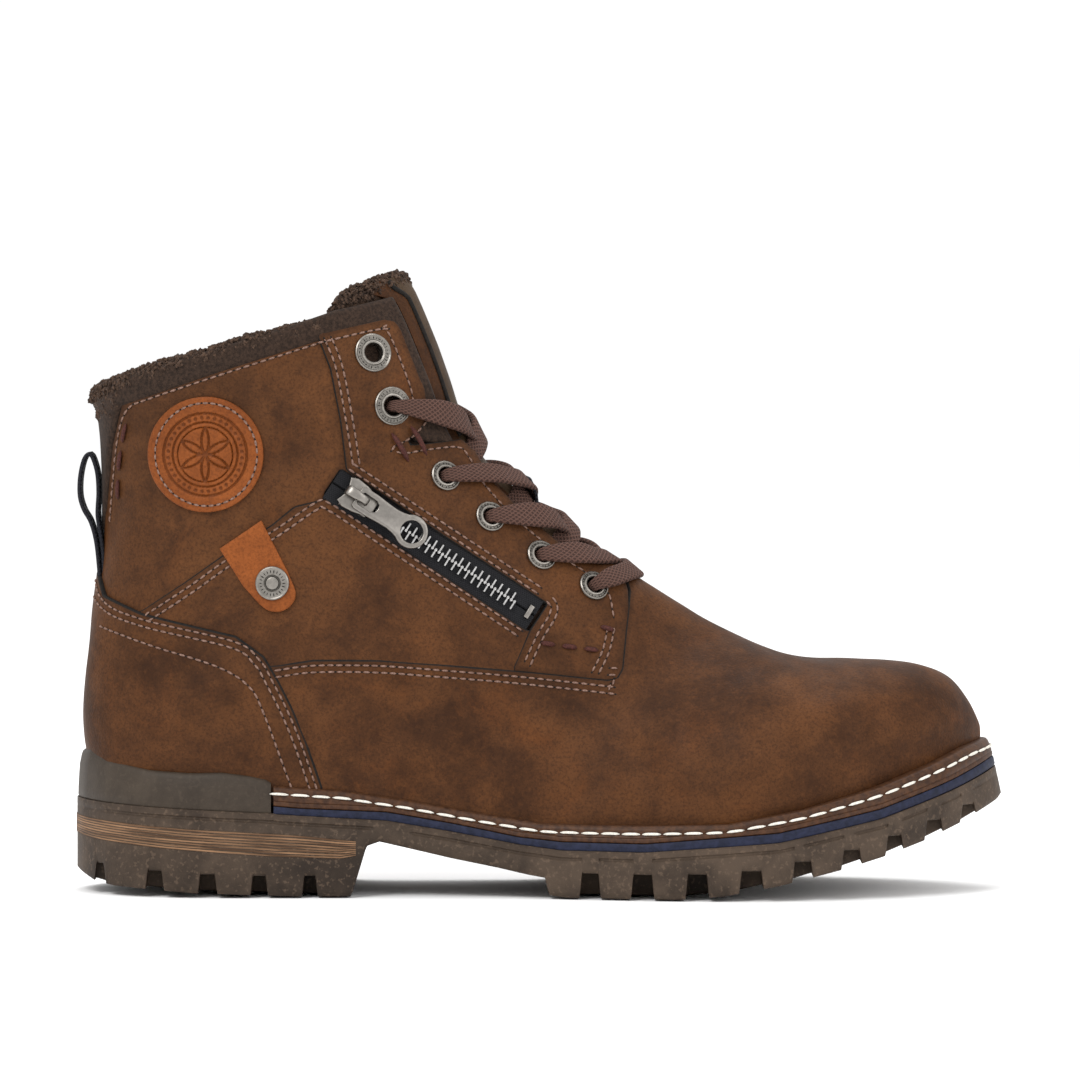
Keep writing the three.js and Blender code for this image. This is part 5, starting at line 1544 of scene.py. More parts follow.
@dataclass
class Lacing:
    """Eyelets, crossed flat lace, its tucked ends and the keeper on the tongue."""

    shop: Shop
    scatter: Scatter
    width: float = 8.2
    thick: float = 2.1

    def build_parts(self) -> None:
        """Builds every piece of the lacing."""
        m = self.shop.made
        places = {s: [LAST.locate(x, z, s) for x, z, _, _ in EYELETS] for s in Side}
        marks = [Eyelet(f"eyelet_{s.name.lower()}_{i + 1}", *places[s][i], *hole[2:]).build_piece(self.shop)
                 for s in Side for i, hole in enumerate(EYELETS)]
        p, n, t = (np.vstack([mark[j] for mark in marks]) for j in range(3))
        tick = seed_shape("tick_seed", 0.95, 0.34, 0.5, rings=3, sides=4)
        attach(self.scatter.make("eyelet_notches", tick, p, m["engraved"], n, t, (0.7, 1.1), 7), None)
        strands = []
        for i in range(1, 5):
            for s, other in ((Side.LATERAL, Side.MEDIAL), (Side.MEDIAL, Side.LATERAL)):
                lift = 2.1 * (s.value * (-1) ** i < 0)
                strands.append(self._strand(places[s][i], places[other][i + 1], lift, False,
                                            10 * i + s.value))
        strands.append(self._strand(places[Side.LATERAL][5], places[Side.MEDIAL][5], 0.0, True, 65))
        attach(joined("lace", strands), "lace_cotton", "lace")
        self._keeper()
        for s in Side:
            self._tail(s)

    def _strand(self, a: tuple[float, float], b: tuple[float, float], lift: float, bar: bool,
                seed: int) -> bpy.types.Object:
        """A length of lace from one eyelet over to the other side.

        Args:
            a, b: surface coordinates of its ends.
            lift: how much higher than its partner it crosses, mm.
            bar: it runs straight across on top and dives into both eyelets.
            seed: its own fixed seed.
        Returns:
            The strand.
        """
        va, vb = (v - 1 if v > 0.5 else v for v in (a[1], b[1]))
        over, under = 3.4, -3.9
        if bar:
            keys = [(0.0, -2.5, 3.4), (0.0, 0.8, 3.6), (0.03, 3.0, 5), (0.12, over, 7.6), (0.3, 2.6, 8.2),
                    (0.5, 2.4, 8.2), (0.7, 2.6, 8.2), (0.88, over, 7.6), (0.97, 3.0, 5), (1.0, 0.8, 3.6),
                    (1.0, -2.5, 3.4)]
        else:
            keys = [(0.0, -2.6, 3.4), (0.0, 0.6, 3.6), (0.02, 2.6, 4.6), (0.09, 3.5, 6.4),
                    (0.2, over, self.width), (0.33, 1.9, self.width + 0.4),
                    (0.5, -1.2 + lift * 1.3, self.width + 0.4),
                    (0.64, -2.2 + lift * 0.5, self.width), (0.78, under, self.width), (0.93, under, 6),
                    (1.0, under, 3.6)]
        k = smooth_line(np.array([(share * 60, d, w) for share, d, w in keys]), 0.7)
        share = np.clip(k[:, 0] / 60, 0, 1)
        u = a[0] + (b[0] - a[0]) * share
        v = va + (vb - va) * share
        n = LAST.normal(u, v % 1.0)
        p = LAST.face(u, v % 1.0) + n * k[:, 1:2]
        across = unit(LAST.face(b[0], b[1]) - LAST.face(a[0], a[1]))
        steep = np.clip((0.035 - share) / 0.035, 0, 1)[:, None]
        top = unit(n * (1 - steep) - across * steep)
        if bar:
            steep = np.clip((share - 0.965) / 0.035, 0, 1)[:, None]
            top = unit(top * (1 - steep) + across * steep)
        rng = np.random.default_rng(abs(seed) + 5)
        wave = np.sin(np.linspace(0, 9, len(k)) + rng.uniform(0, 6)) * 0.12 + 1
        size = np.stack([k[:, 2] / self.width * wave, 1 + 0.5 * np.clip((6 - k[:, 2]) / 3, 0, 1)], 1)
        twist = np.sin(share * math.pi) * rng.uniform(-0.16, 0.16)
        side = unit(np.cross(np.gradient(p, axis=0), top))
        top = unit(top + side * twist[:, None])
        return sweep("strand", p, top, flat_profile(self.width, self.thick, 6), self.shop.made["lace"], size)

    def _keeper(self) -> None:
        """Builds the webbing keeper on the tongue."""
        u = np.linspace(3.42, 4.66, 40)
        v = np.zeros(40)
        d = np.interp(u, [3.42, 3.55, 3.8, 4.04, 4.28, 4.53, 4.66], [-4.2, -3.6, 0.6, 2.6, 0.6, -3.6, -4.2])
        keeper = sweep("lace_keeper", LAST.at(u, v, d), LAST.normal(u, v), flat_profile(9, 1.1, 3),
                       self.shop.made["webbing"])
        attach(keeper, "webbing_black", "lace_keeper")

    def _tail(self, side: Side) -> None:
        """Builds one end of the lace, tucked down inside the boot, with its tip.

        Args:
            side: which end.
        """
        s = side.value
        raw = [(-62, 20, 152), (-72, 22, 130), (-80, 22.5, 100), (-84, 22, 70), (-80, 20, 46), (-60, 16, 42),
               (-30, 17, 40), (-5, 18.5, 35), (10, 14.5, 33), (2, 9, 33), (-25, 6.5, 39), (-50, 7, 43)]
        path = smooth_line([(x, y * s, z) for x, y, z in raw], 2.5)
        share = np.linspace(0, 1, len(path))[:, None]
        flat = np.clip((share - 0.36) / 0.1, 0, 1)
        n = unit(np.array([0, s, 0]) * (1 - flat) + UP * flat + np.array([0.05, 0, 0]))
        tag = side.name.lower()
        tail = sweep(f"lace_tail_{tag}", path, n, flat_profile(7.0, 2.0, 5), self.shop.made["lace"])
        attach(tail, "lace_cotton", f"lace_tail_{tag}")
        way = unit(path[-1] - path[-3])
        tip = path[-1] + way * np.linspace(-0.5, 20, 8)[:, None]
        aglet = sweep(f"aglet_{tag}", tip, np.repeat(n[-1:], 8, 0), round_profile(1.7, 14),
                      self.shop.made["aglet"])
        attach(aglet, "aglet_plastic", f"aglet_{tag}")


@dataclass
class Zip:
    """Side zip: tapes, teeth, end stop, slider and its ring pull."""

    shop: Shop
    scatter: Scatter
    pitch: float = 2.6

    def __post_init__(self) -> None:
        """Sets the zip's own axes: along it, across it and out of the boot."""
        self.origin = np.array([-66.73, -35.44, 134.98])
        self.axis = unit(np.array([0.83, 0.086, -0.552]))
        self.out = unit(np.array([0.194, -0.971, 0.141]))
        self.across = unit(np.cross(self.out, self.axis))
        self.out = np.cross(self.axis, self.across)
        self.length = 77.06
        self.teeth = 25

    def place(self, local: np.ndarray) -> np.ndarray:
        """Points drawn along the zip, across it and out of the boot, put in the drawing, mm."""
        q = np.asarray(local, float)
        return self.origin + q[:, 0:1] * self.axis + q[:, 1:2] * self.across + q[:, 2:3] * self.out

    def slab(self, name: str, outline: np.ndarray, low: float, high: float, material: bpy.types.Material,
             holes: list[np.ndarray] = (), bevel: float = 0.35) -> bpy.types.Object:
        """A plate with rounded rims, cut from an outline along and across the zip.

        Args:
            name: object name.
            outline: its corners, mm.
            low, high: its faces' heights, mm.
            material: its finish.
            holes: outlines of its holes.
            bevel: size of the rounding, mm.
        Returns:
            The object.
        """
        curve = bpy.data.curves.new(name, "CURVE")
        curve.dimensions = "2D"
        curve.fill_mode = "BOTH"
        curve.extrude = (high - low) / 2 - bevel
        curve.bevel_depth = bevel
        curve.bevel_resolution = 2
        curve.offset = -bevel
        for loop in [outline, *holes]:
            spline = curve.splines.new("POLY")
            spline.points.add(len(loop) - 1)
            spline.use_cyclic_u = True
            for point, (x, y) in zip(spline.points, loop):
                point.co = (x, y, 0, 1)
        holder = placed(name, curve)
        bpy.context.view_layer.update()
        mesh = bpy.data.meshes.new_from_object(holder.evaluated_get(bpy.context.evaluated_depsgraph_get()))
        local = np.array([v.co for v in mesh.vertices])
        local[:, 2] += (low + high) / 2
        obj = build(name, self.place(local), [tuple(f.vertices) for f in mesh.polygons], material, 35)
        bpy.data.objects.remove(holder)
        return facing_out(obj)

    def build_parts(self) -> None:
        """Builds the zip."""
        m = self.shop.made
        for name, s in (("upper", 1), ("lower", -1)):
            section = ((0.1, -0.35), (0.1, -1.1), (5.9, -1.1), (5.9, -0.2), (2.9, -0.3), (1.2, 0.25),
                       (0.5, 0.25))
            pts = np.array([(x, y * s, z) for x in np.linspace(-2, self.length + 1, 60) for y, z in section])
            tape = lofted(f"zip_tape_{name}", self.place(pts).reshape(60, -1, 3), m["tape"], 40,
                          uv=pts[:, :2] / MM)
            attach(tape, "webbing_black", f"zip_tape_{name}")
            start = 3.5 + (0 if s > 0 else self.pitch / 2)
            at = np.array([(start + i * self.pitch, 1.55 * s, 0.75) for i in range(self.teeth + 1)])
            at = at[at[:, 0] < self.length - 2.5]
            n, t = (np.repeat(way[None], len(at), 0) for way in (self.out, self.axis))
            row = self.scatter.make(f"zip_teeth_{name}", tooth_shape(f"tooth_seed_{name}", s), self.place(at),
                                    m["nickel"], n, t, (1, 1), 2)
            attach(row, "antique_metal", f"zip_teeth_{name}")
        end = self.length - 2.2
        corners = np.array([(end, -2.4), (end + 1.7, -2.4), (end + 1.7, 2.4), (end, 2.4)])
        stop = self.slab("zip_end_stop", corners, 0, 1.3, m["pewter"])
        attach(stop, "antique_metal", "zip_end_stop")
        self._slider()
        self._pull()

    def _slider(self) -> None:
        """Builds the slider: top plate, two side walls and the bridge that holds the pull."""
        m = self.shop.made["pewter"]
        half = [(14.2, 3.6), (12.6, 3.9), (8.5, 5.0), (4.4, 5.4), (2, 4.4)]
        plate = np.array([(x, -y) for x, y in half[::-1]] + half + [(3.6, 0)])
        top = self.slab("slider_top", plate, 1.75, 3.05, m)
        wall = [(3.2, 4.1), (12.8, 3.5), (12.8, 4.2), (3.2, 5.2)]
        walls = [self.slab("wall", np.array([(x, s * y) for x, y in wall][::s]), 0.1, 2.4, m, bevel=0.15)
                 for s in (1, -1)]
        bend = smooth_line([(3.2, 0, 2.7), (3.3, 0, 4.9), (4.4, 0, 5.9), (7.0, 0, 6.25), (9.4, 0, 5.9),
                            (10.6, 0, 4.9), (10.8, 0, 2.7)], 0.35)
        world = self.place(bend)
        up = unit(world - self.place(np.array([[7.0, 0, 2.9]])))
        width = np.interp(bend[:, 0], [3, 6, 8, 11], [1.1, 1.15, 0.95, 0.8])
        bridge = sweep("bridge", world, up, flat_profile(3.0, 1.15, 5), m,
                       np.stack([width, np.ones(len(bend))], 1))
        attach(joined("zip_slider", [top, *walls, bridge]), "antique_metal", "zip_slider", body="slider")

    def _pull(self) -> None:
        """Builds the pull: a plate with a slot for the bridge and a ring at its end."""
        def arc(centre: float, radius: float, angles: np.ndarray) -> list[tuple[float, float]]:
            """Points of a circle on the zip's line."""
            return [(centre + radius * math.cos(a), radius * math.sin(a)) for a in angles]

        right = [(6.8, 3.5), (8.0, 4.1), (13, 4.1), (17, 3.75), (20.4, 3.6), (22.6, 3.85)]
        ring = arc(28.2, 5.6, np.linspace(2.25, -2.25, 44))
        outline = np.array(right + ring + [(x, -y) for x, y in right[::-1]])
        half = [(8.1, 1.7), (8.6, 2.2), (13.4, 2.2), (14.6, 1.4), (14.9, 0)]
        slot = np.array([(x, -y) for x, y in half[:2][::-1]] + half + [(x, -y) for x, y in half[2:4][::-1]])
        hole = np.array(arc(28.4, 3.8, np.linspace(0, math.tau, 40)[:-1]))
        plate = self.slab("zip_pull", outline, 3.5, 4.85, self.shop.made["pewter"], [slot, hole], 0.4)
        attach(plate, "antique_metal", "zip_pull", body="puller")


def tooth_shape(name: str, s: int) -> bpy.types.Object:
    """One zip tooth reaching over the middle.

    Args:
        name: object name.
        s: 1 for the upper row, -1 for the lower.
    Returns:
        The object.
    """
    rings = [(0.42, -1.25), (0.46, 0.5), (0.34, 0.95), (0.54, 1.35), (0.54, 1.85), (0.3, 2.1)]
    section = ((-1, -0.45), (1, -0.45), (1, 0.3), (0.6, 0.62), (-0.6, 0.62), (-1, 0.3))
    grid = [[(share * half, -y * s, z) for share, z in section] for half, y in rings]
    return facing_out(small_shape(name, grid, smooth=False))


@dataclass
class Trims:
    """Round patch, riveted tab and pull loop."""

    shop: Shop
    skin: Skin
    sewing: Sewing

    def build_parts(self) -> None:
        """Builds the trims and lays their thread."""
        fine = Skin(64, 460, (0.3, 6.2), (0.19, 0.47))
        x, y, z = (fine.p[..., k] for k in range(3))
        dx, dz = x - PATCH[0], z - PATCH[1]
        r = np.hypot(dx, dz)
        lateral = y < 0
        tab_line = smooth_line([(-82.9, 106.5), (-80.4, 99.5), (-82.5, 95.2), (-86.5, 93.6), (-91, 95.0),
                                (-97.6, 102.0)], 0.8)
        tab_f = signed([(-105.3, 114.3), (-91.7, 123.7)] + [tuple(p) for p in tab_line], x, z)
        made = []
        for name, field, depth, rise in (("round_patch", PATCH[2] - r, self._badge(dx, dz, r), 1.55),
                                         ("leather_tab", tab_f, np.zeros(x.shape), 1.9)):
            made.append(self._embossed(fine, name, np.where(lateral, field, -9.0), depth, rise))
            attach(made[-1], "cognac_leather", name)
        self.sewing.lay_on(made)
        ring = [(PATCH[0] + 16.9 * math.cos(a), PATCH[1] + 16.9 * math.sin(a))
                for a in np.linspace(0, math.tau, 60)]
        self.sewing.row("patch", ring, 2.55, 0, (Side.LATERAL,), 0.05)
        self._rivet()
        self._loop()

    @staticmethod
    def _badge(dx: np.ndarray, dz: np.ndarray, r: np.ndarray) -> np.ndarray:
        """A plain pressed ornament, a six-leaf rosette inside two rings.

        Args:
            dx, dz, r: place and distance from its middle, mm.
        Returns:
            Depths, mm.
        """
        leaf, inner, outer = 9.0, 10.6, 13.6
        depth = np.zeros(r.shape)
        for k in range(6):
            a = math.tau * (k + 0.5) / 6
            arc = np.abs(np.hypot(dx - leaf * math.cos(a), dz - leaf * math.sin(a)) - leaf)
            depth = np.maximum(depth, np.where(r < leaf, 0.75 * np.clip(1 - (arc / 0.5) ** 2, 0, 1), 0))
        for radius, wide in ((inner, 0.45), (outer, 0.55), (leaf, 0.3)):
            depth = np.maximum(depth, 0.7 * np.clip(1 - ((r - radius) / wide) ** 2, 0, 1))
        turn = (np.arctan2(dz, dx) / math.tau * 36) % 1.0 - 0.5
        bead = np.hypot(turn * math.tau / 36 * r, r - (inner + outer) / 2)
        return np.maximum(depth, 0.6 * np.clip(1 - (bead / 0.75) ** 2, 0, 1))

    def _embossed(self, fine: Skin, name: str, field: np.ndarray, depth: np.ndarray,
                  rise: float) -> bpy.types.Object:
        """A raised leather piece with a pressed design.

        Args:
            fine: the grid to cut from.
            name: object name.
            field: distance inside its outline.
            depth: depth of the design at each grid point, mm.
            rise: height of its face, mm.
        Returns:
            The object.
        """
        data, tris = fine.cut(field, (0.0, 0.12, 0.4, 0.9))
        u, v, f = data.T
        deep = grid_read(fine, depth, u, v)
        p, n = LAST.face(u, v), LAST.normal(u, v)
        points = np.vstack([p + n * (rise - rolled(f, 0.9, 0.4) - deep)[:, None], p + n * 0.1])
        count = len(u)
        faces = [tuple(q) for q in tris] + [(b, a, a + count, b + count) for a, b in rim_edges(tris, f)]
        edge = np.concatenate([np.where(deep > 0.06, 0.0, 0.02), np.zeros(count)])
        return build(name, points, faces, self.shop.made["cognac"], 60, edge=edge)

    def _rivet(self) -> None:
        """Builds the rivet of the tab and its notches."""
        u, v = LAST.locate(*RIVET, Side.LATERAL)
        p, n = LAST.face(u, v), LAST.normal(u, v)
        profile = [(0.0, 0.4), (1.2, 0.4), (1.2, 1.9), (5.5, 1.95), (5.6, 2.35), (5.45, 2.75), (5.1, 2.95),
                   (4.75, 2.8), (2.9, 2.78), (2.55, 2.5), (2.3, 2.5), (2.0, 2.95), (1.6, 3.1), (0.0, 3.1)]
        attach(lathe("rivet", profile, p, n, self.shop.made["silver"], 64), "antique_metal", "rivet")
        ray, _ = spokes(n, np.arange(22) / 22 * math.tau)
        tick = seed_shape("rivet_tick_seed", 1.1, 0.36, 0.5, rings=3, sides=4)
        attach(self.sewing.scatter.make("rivet_notches", tick, p + ray * 3.85 + n * 2.8,
                                        self.shop.made["engraved"], np.repeat(n[None], 22, 0), ray,
                                        (0.8, 1.1), 8), None)

    def _loop(self) -> None:
        """Builds the webbing pull loop at the back."""
        line = [(-146.4, 103), (-146.8, 112), (-147.6, 118), (-148.6, 124.5), (-148.3, 132), (-148.7, 138.5),
                (-150.2, 143.6), (-151.6, 144.8), (-153.2, 142.6), (-154.4, 137), (-154.5, 131),
                (-153.2, 126.4), (-150.8, 122.0), (-149.0, 115), (-147.8, 103)]
        flat = smooth_line(line, 0.8)
        path = np.stack([flat[:, 0] + 1.2, np.zeros(len(flat)), flat[:, 1]], 1)
        n = np.cross(unit(np.gradient(path, axis=0)), np.array([0, 1.0, 0]))
        quarter = len(path) // 4
        if (n[quarter] * (path[quarter] - path[3 * quarter])).sum() < 0:
            n = -n
        loop = sweep("pull_loop", path, n, flat_profile(14, 1.3, 4), self.shop.made["webbing"])
        attach(loop, "webbing_black", "pull_loop", body="loop")


def grid_read(skin: Skin, field: np.ndarray, u: np.ndarray, v: np.ndarray) -> np.ndarray:
    """A grid value read between its points.

    Args:
        skin: the grid.
        field: a value at each of its points.
        u, v: where to read.
    Returns:
        Values.
    """
    rows, cols = field.shape
    a = np.clip((u - skin.u[0, 0]) / (skin.u[-1, 0] - skin.u[0, 0]) * (rows - 1), 0, rows - 1.001)
    b = np.clip((v - skin.v[0, 0]) / (skin.v[0, -1] - skin.v[0, 0]) * (cols - 1), 0, cols - 1.001)
    i, j = a.astype(int), b.astype(int)
    s, t = a - i, b - j
    return (field[i, j] * (1 - s) * (1 - t) + field[i + 1, j] * s * (1 - t) + field[i, j + 1] * (1 - s) * t
            + field[i + 1, j + 1] * s * t)


def toe_slant(points: np.ndarray) -> np.ndarray:
    """Leans the front of the sole back towards its top, mm.

    Args:
        points: x, y, z in the last axis.
    Returns:
        The moved points.
    """
    share = np.clip((points[..., 0] - 124) / 30, 0, 1) ** 1.5 * np.clip((points[..., 2] - 30) / 20, 0, 1)
    out = np.array(points, float)
    out[..., 0] -= 4.4 * share
    return out


@dataclass
class Sole:
    """Outsole, heel band, midsole strip, welt with its thread, heel cup and the pieces inside."""

    shop: Shop
    scatter: Scatter

    def __post_init__(self) -> None:
        """Draws the sole's outline and its outward directions in plan."""
        ring = [(x, mid - h) for x, h, mid in PLAN] + [(x, mid + h) for x, h, mid in PLAN[-2:0:-1]]
        closed = smooth_line(ring[-3:] + ring + ring[:3], 0.9)
        far = np.linalg.norm(closed - np.array(ring[0]), axis=1)
        half = len(closed) // 2 + 1
        first, last = int(np.argmin(far)), half + int(np.argmin(far[half:]))
        self.outline = spaced(np.vstack([closed[first:last], closed[first]]), 0.9)[:-1]
        t = unit(np.roll(self.outline, -1, 0) - np.roll(self.outline, 1, 0))
        self.normal = np.stack([t[:, 1], -t[:, 0]], 1)

    def _between(self, start: float, stop: float) -> tuple[np.ndarray, np.ndarray, bool]:
        """The stretch of the outline between two places along the boot.

        Args:
            start, stop: x where it begins and ends, mm.
        Returns:
            Its points, its normals, and whether it is the whole ring.
        """
        keep = (self.outline[:, 0] >= start) & (self.outline[:, 0] <= stop)
        turn = -int(np.argmax(~keep))
        index = np.roll(np.arange(len(keep)), turn)[np.roll(keep, turn)]
        return self.outline[index], self.normal[index], bool(keep.all())

    def band(self, name: str, rows: list, material: bpy.types.Material, start: float = -999,
             stop: float = 999) -> bpy.types.Object:
        """A band following the plan, between two places along the boot.

        Args:
            name: object name.
            rows: inset, line and height above it; a line is a table or a function of x.
            material: its finish.
            start, stop: x where it begins and ends, mm.
        Returns:
            The object.
        """
        o, n, whole = self._between(start, stop)
        x = o[:, 0]
        rings = [np.column_stack([o - n * inset, (line(x) if callable(line) else height(line, x)) + up])
                 for inset, line, up in rows]
        return lofted(name, toe_slant(np.stack(rings, 1)), material, 45, whole)

    def build_parts(self) -> None:
        """Builds the sole's pieces."""
        self._outsole()

        def layer(share: float) -> Callable[[np.ndarray], np.ndarray]:
            """The line at a share of the way up the stacked band."""
            s = min(1.0, max(0.0, share))
            return lambda x: height(STACK_LOW, x) * (1 - s) + height(STACK_TOP, x) * s

        grooves = [(inset, layer(k / 8 + off), 0) for k in range(9)
                   for inset, off in ((-0.1, -0.028), (0.35, 0.0), (-0.1, 0.028))]
        bands = (
            ("heel_stack_band", "stack_wood_look", "stacked", -999, -60.3,
             grooves + [(2.5, STACK_TOP, 0), (2.5, STACK_LOW, 0)]),
            ("midsole", "midsole_navy", "navy", -88, 999,
             [(12, MID_LOW, 0), (0.7, MID_LOW, 0), (0.45, MID_LOW, 0.4), (0.45, MID_TOP, -0.4),
              (0.7, MID_TOP, 0), (12, MID_TOP, 0)]),
            ("welt", "welt_brown", "welt", -88, 999,
             [(1.0, MID_TOP, 0.1), (0.55, MID_TOP, 0.5), (0.5, MID_TOP, 1.5), (0.75, MID_TOP, 1.8),
              (0.5, MID_TOP, 2.1), (0.7, WELT_TOP, -3.2), (1.1, WELT_TOP, -2.7), (0.85, WELT_TOP, -2.1),
              (1.2, WELT_TOP, -0.9), (1.8, WELT_TOP, -0.25), (2.8, WELT_TOP, 0), (5.2, WELT_TOP, -0.1),
              (9, WELT_TOP, -0.6), (9, MID_TOP, 0.1)]),
            ("heel_cup", "outsole_rubber", "cup_rubber", -999, -88.2,
             [(0.8, MID_TOP, -2.2), (0.5, MID_TOP, -1.6), (0.55, MID_TOP, 1.0), (1.0, CUP_TOP, -5),
              (1.6, CUP_TOP, -2), (2.1, CUP_TOP, -0.6), (2.8, CUP_TOP, -0.05), (3.6, CUP_TOP, 0),
              (7, CUP_TOP, -0.6), (9, MID_TOP, 2), (9, MID_TOP, -2.2)]))
        for name, slot, look, start, stop, rows in bands:
            attach(self.band(name, rows, self.shop.made[look], start, stop), slot, name)
        self._welt_thread()
        self._inside()

    def _outsole(self) -> None:
        """Lofts the outsole from cross sections, with its grooves."""
        xs = list(np.arange(-154.6, 154.7, 0.8))
        for a, b, _ in GROOVES:
            xs += [end + off for end in (a, b) for off in (-0.5, -0.15, 0.15, 0.5)]
        xs = np.unique(np.round(np.array([x for x in xs if -154.7 < x < 154.7]), 2))
        ground = height(GROUND, xs)
        for a, b, roof in GROOVES:
            inside = np.clip(np.minimum(xs - a + 0.35, b + 0.35 - xs) / 0.7, 0, 1)
            ground = np.where(inside > 0, ground + (np.maximum(roof, ground) - ground) * inside, ground)
        top = np.where(xs < -87, height(MID_TOP, xs) - 2.3, height(MID_LOW, xs) - 0.1)
        half, mid = plan_at(xs)
        half = np.maximum(half, 0.6)
        rows = []
        for x, g, t, h, c in zip(xs, ground, top, half, mid):
            r = min(0.9, h * 0.3)
            deep = 3.2 if (-140 < x < -64 or 6 < x < 132) else 0.0
            w = h * 0.2
            right = [(0.0, g + deep), (w - 1.2, g + deep), (w, g + deep * 0.1), (h - 2.2 * r, g),
                     (h - r * 0.7, g + r * 0.25), (h - 0.1, g + r * 1.1), (h, g + 2.2 * r)]
            ridge = t - 2.0
            if ridge - g > 6:
                right += [(h, ridge - 1.4), (h - 0.5, ridge - 1.0), (h - 0.5, ridge - 0.5), (h, ridge - 0.1)]
            else:
                right += [(h, g + (t - g) * k) for k in (0.5, 0.6, 0.65, 0.7)]
            right += [(h, t - 0.6), (h - 0.6, t), (h * 0.4, t)]
            full = [(c + y, z) for y, z in right] + [(c - y, z) for y, z in right[:0:-1]]
            rows.append([(x, y, max(z, 0.0)) for y, z in full])
        sole = lofted("outsole", toe_slant(np.array(rows)), self.shop.made["rubber"], 38)
        attach(sole, "outsole_rubber", "outsole")
        self._inner_lugs()

    def _inner_lugs(self) -> None:
        """Builds the lugs of the middle rows, set between the outer ones."""
        points, faces = [], []
        for a, b, roof in GROOVES:
            x = (a + b) / 2
            half, mid = plan_at(x)
            low, long = float(height(GROUND, x)) + 0.35, (b - a) / 2 + 1.4
            for side in (-1, 1):
                base = len(points)
                for z, inset in ((roof + 1.5, 0), (low + 1.0, 0), (low + 0.3, 0.25), (low, 0.9)):
                    for u, w in ((-1, 0), (1, 0), (1, 1), (-1, 1)):
                        y = half * (0.3 + 0.42 * w) + inset * (1 - 2 * w)
                        lean = float(height(GROUND, x + u * long)) - low + 0.35
                        tall = max(z + (z < roof) * lean, 0.05)
                        points.append((x + u * (long - inset), mid + side * y, tall))
                faces += [tuple(base + q for q in face) for face in loft(4, 4)]
        lugs = build("inner_lugs", np.array(points), faces, self.shop.made["rubber"], 30, merge=False)
        attach(facing_out(lugs), "outsole_rubber")

    def _welt_thread(self) -> None:
        """Lays the thick white stitches along the welt."""
        o, n, _ = self._between(-86, 999)
        path = toe_slant(np.column_stack([o - n * 0.95, height(WELT_TOP, o[:, 0]) - 2.7]))
        at = spaced(path, 6.9)
        near = [int(np.argmin(np.linalg.norm(path - q, axis=1))) for q in at]
        face = unit(np.column_stack([n[near], np.full(len(near), 0.35)]))
        shape = seed_shape("welt_seed", 6.1, 0.9, 0.8, 0.45, rings=7, sides=8)
        attach(self.scatter.make("welt_thread", shape, at + face * 0.15, self.shop.made["white_thread"], face,
                                 unit(np.gradient(at, axis=0)), (0.96, 1.04), 6), None)

    def _inside(self) -> None:
        """Builds the footbed pad."""
        section = ((0, 0), (0.9, 0), (1, 1), (1, 3.6), (0.93, 4.7), (0.5, 4.5), (0, 4.4), (-0.5, 4.5),
                   (-0.93, 4.7), (-1, 3.6), (-1, 1), (-0.9, 0))
        rows = []
        for x in np.linspace(-138, 136, 120):
            half, mid = plan_at(x)
            toe, heel = (math.sqrt(max(0.02, 1 - max(0, past) ** 2))
                         for past in ((x - 104) / 33, (-x - 118) / 21))
            h = max(3.0, float(half) - 17.5) * toe * heel
            z = float(height(MID_TOP, x)) + 3.4
            rows.append([(x, mid + y * h, z + t) for y, t in section])
        bed = lofted("footbed", np.array(rows), self.shop.made["felt"])
        attach(bed, "insulation_foam", "footbed")


@dataclass
class Studio:
    """Camera, lights and floor."""

    distance: float = 2.5
    lens: float = 250.0

    def build_set(self) -> None:
        """Places the camera, the lights, the sky and the floor."""
        cam = bpy.data.cameras.new("camera")
        cam.lens, cam.sensor_width = self.lens, 36
        cam.clip_end = 50
        view = placed("camera", cam)
        rise = math.radians(2)
        view.location = (0, -self.distance * math.cos(rise), 0.116 + self.distance * math.sin(rise))
        view.rotation_euler = (math.radians(90) - rise, 0, 0)
        bpy.context.scene.camera = view
        world = bpy.data.worlds.new("sky")
        world.use_nodes = True
        world.node_tree.nodes["Background"].inputs[0].default_value = (1, 1, 1, 1)
        world.node_tree.nodes["Background"].inputs[1].default_value = 1.03
        bpy.context.scene.world = world
        self._light("key", (-0.9, -1.5, 1.7), 1.1, 26)
        self._light("fill", (1.4, -1.2, 0.9), 1.2, 9)
        self._light("top", (0.1, 0.5, 2.0), 1.2, 14)
        mesh = bpy.data.meshes.new("floor")
        mesh.from_pydata([(-20, -20, -0.0005), (20, -20, -0.0005), (20, 20, -0.0005), (-20, 20, -0.0005)], [],
                         [(0, 1, 2, 3)])
        mat = bpy.data.materials.new("floor")
        mat.use_nodes = True
        shader = mat.node_tree.nodes["Principled BSDF"]
        shader.inputs["Base Color"].default_value = (0.98, 0.98, 0.98, 1)
        shader.inputs["Roughness"].default_value = 0.9
        shader.inputs["Specular IOR Level"].default_value = 0.0
        mesh.materials.append(mat)
        placed("floor", mesh)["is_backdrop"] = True
        bpy.context.scene.view_settings.view_transform = "Standard"

    @staticmethod
    def _light(name: str, at: tuple[float, float, float], size: float, power: float) -> None:
        """Adds a round lamp aimed at the boot."""
        lamp = bpy.data.lights.new(name, "AREA")
        lamp.shape, lamp.size, lamp.energy = "DISK", size, power
        obj = placed(name, lamp)
        obj.location = at
        aim = Vector((0, 0, 0.1)) - Vector(at)
        obj.rotation_euler = aim.to_track_quat("-Z", "Y").to_euler()


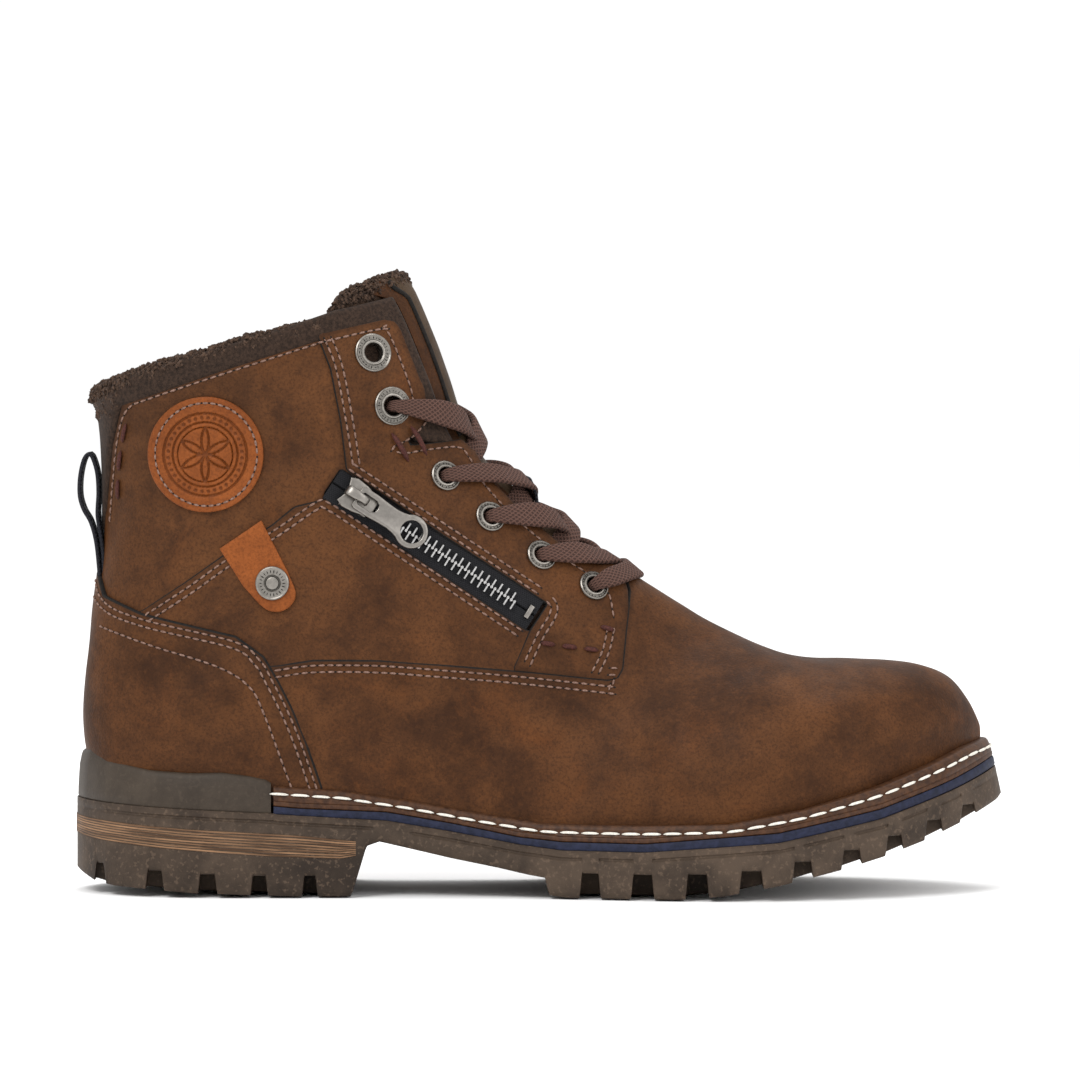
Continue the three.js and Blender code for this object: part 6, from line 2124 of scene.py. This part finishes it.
def dress_shop() -> Shop:
    """Makes every finish.

    Returns:
        The shop that holds them.
    """
    shop = Shop()
    shop.leather("leather", LEATHER, 0.55)
    shop.leather("olive_leather", OLIVE, 0.3)
    shop.leather("cognac", COGNAC, 0.4)
    for name, finish, contrast in (("felt", FELT, 1), ("fleece", FLEECE, 1.2), ("cut_edge", CUT, 1),
                                   ("thread", THREAD, 1), ("white_thread", WHITE_THREAD, 1),
                                   ("accent", ACCENT, 1), ("wadding", FELT, 1), ("piping", CUT, 1),
                                   ("welt", WELT_BROWN, 1), ("navy", NAVY, 1), ("board", BOARD, 1),
                                   ("stiff", STIFF, 1), ("aglet", PLASTIC, 1)):
        shop.plain(name, finish, contrast)
    for name, finish in (("silver", SILVER), ("pewter", PEWTER), ("nickel", NICKEL), ("steel", STEEL),
                         ("engraved", ENGRAVED)):
        shop.metal(name, finish)
    shop.woven("webbing", WEBBING, 700, 900)
    shop.woven("tape", TAPE, 1300, 900)
    shop.woven("lace", LACE, 470, 620)
    shop.rubber("rubber", RUBBER, 0.35)
    shop.rubber("cup_rubber", CUP_RUBBER, 0.1)
    shop.stacked("stacked", STACKED)
    return shop


def finish_cad_nodes(shop: Shop) -> None:
    """Gives the carried pieces inside the boot their finishes."""
    looks = {"toe_puff": ("stiff", "stiffener"), "heel_stiffener": ("stiff", "stiffener"),
             "insole_board": ("board", "insole_fibre"), "shank": ("steel", "shank_steel")}
    for name, (look, slot) in looks.items():
        obj = bpy.data.objects.get(name)
        if obj is None:
            LOG.warning("no carried piece %s", name)
            continue
        obj.data.materials.clear()
        obj.data.materials.append(shop.made[look])


def write_sizes() -> None:
    """Updates the view layer."""

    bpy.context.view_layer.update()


def main() -> None:
    """Builds the boot, its finishes and its set."""
    logging.basicConfig(level=logging.INFO, format="%(message)s")
    Studio().build_set()
    shop, scatter = dress_shop(), Scatter()
    sewing, skin = Sewing(scatter), Skin()
    Lacing(shop, scatter).build_parts()
    upper = Upper(shop, skin, sewing)
    upper.build_panels()
    upper.sew()
    Collar(shop, skin, scatter).build_parts()
    Tongue(shop, scatter).build_parts()
    Zip(shop, scatter).build_parts()
    Trims(shop, skin, sewing).build_parts()
    Sole(shop, scatter).build_parts()
    made = shop.made
    threads = (("seam_thread", {"thin": seed_shape("thin_seed", 2.2, 0.72, 0.66, 0.16),
                                "patch": seed_shape("patch_seed", 1.9, 0.75, 0.6, 0.15)}, "thread"),
               # painted shade of the needle holes: dark seeds between the stitches
               ("seam_holes", {"hole": seed_shape("hole_seed", 0.85, 0.75, 0.3, 0.0, 3)}, "cut_edge"),
               ("accent_thread", {"accent_long": seed_shape("long_seed", 6.7, 1.7, 1.2, 0.3, 7),
                                  "accent_short": seed_shape("short_seed", 4.9, 1.7, 1.2, 0.3, 7),
                                  "accent_bar": seed_shape("bar_seed", 11.0, 1.9, 1.7, 0.9, 7)}, "accent"))
    for name, kinds, look in threads:
        attach(sewing.finish(name, kinds, made[look]), None)
    finish_cad_nodes(shop)
    write_sizes()
    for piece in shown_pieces():
        LOG.info("%s: %d faces", piece.name, len(piece.data.polygons))


if __name__ == "__main__":
    main()
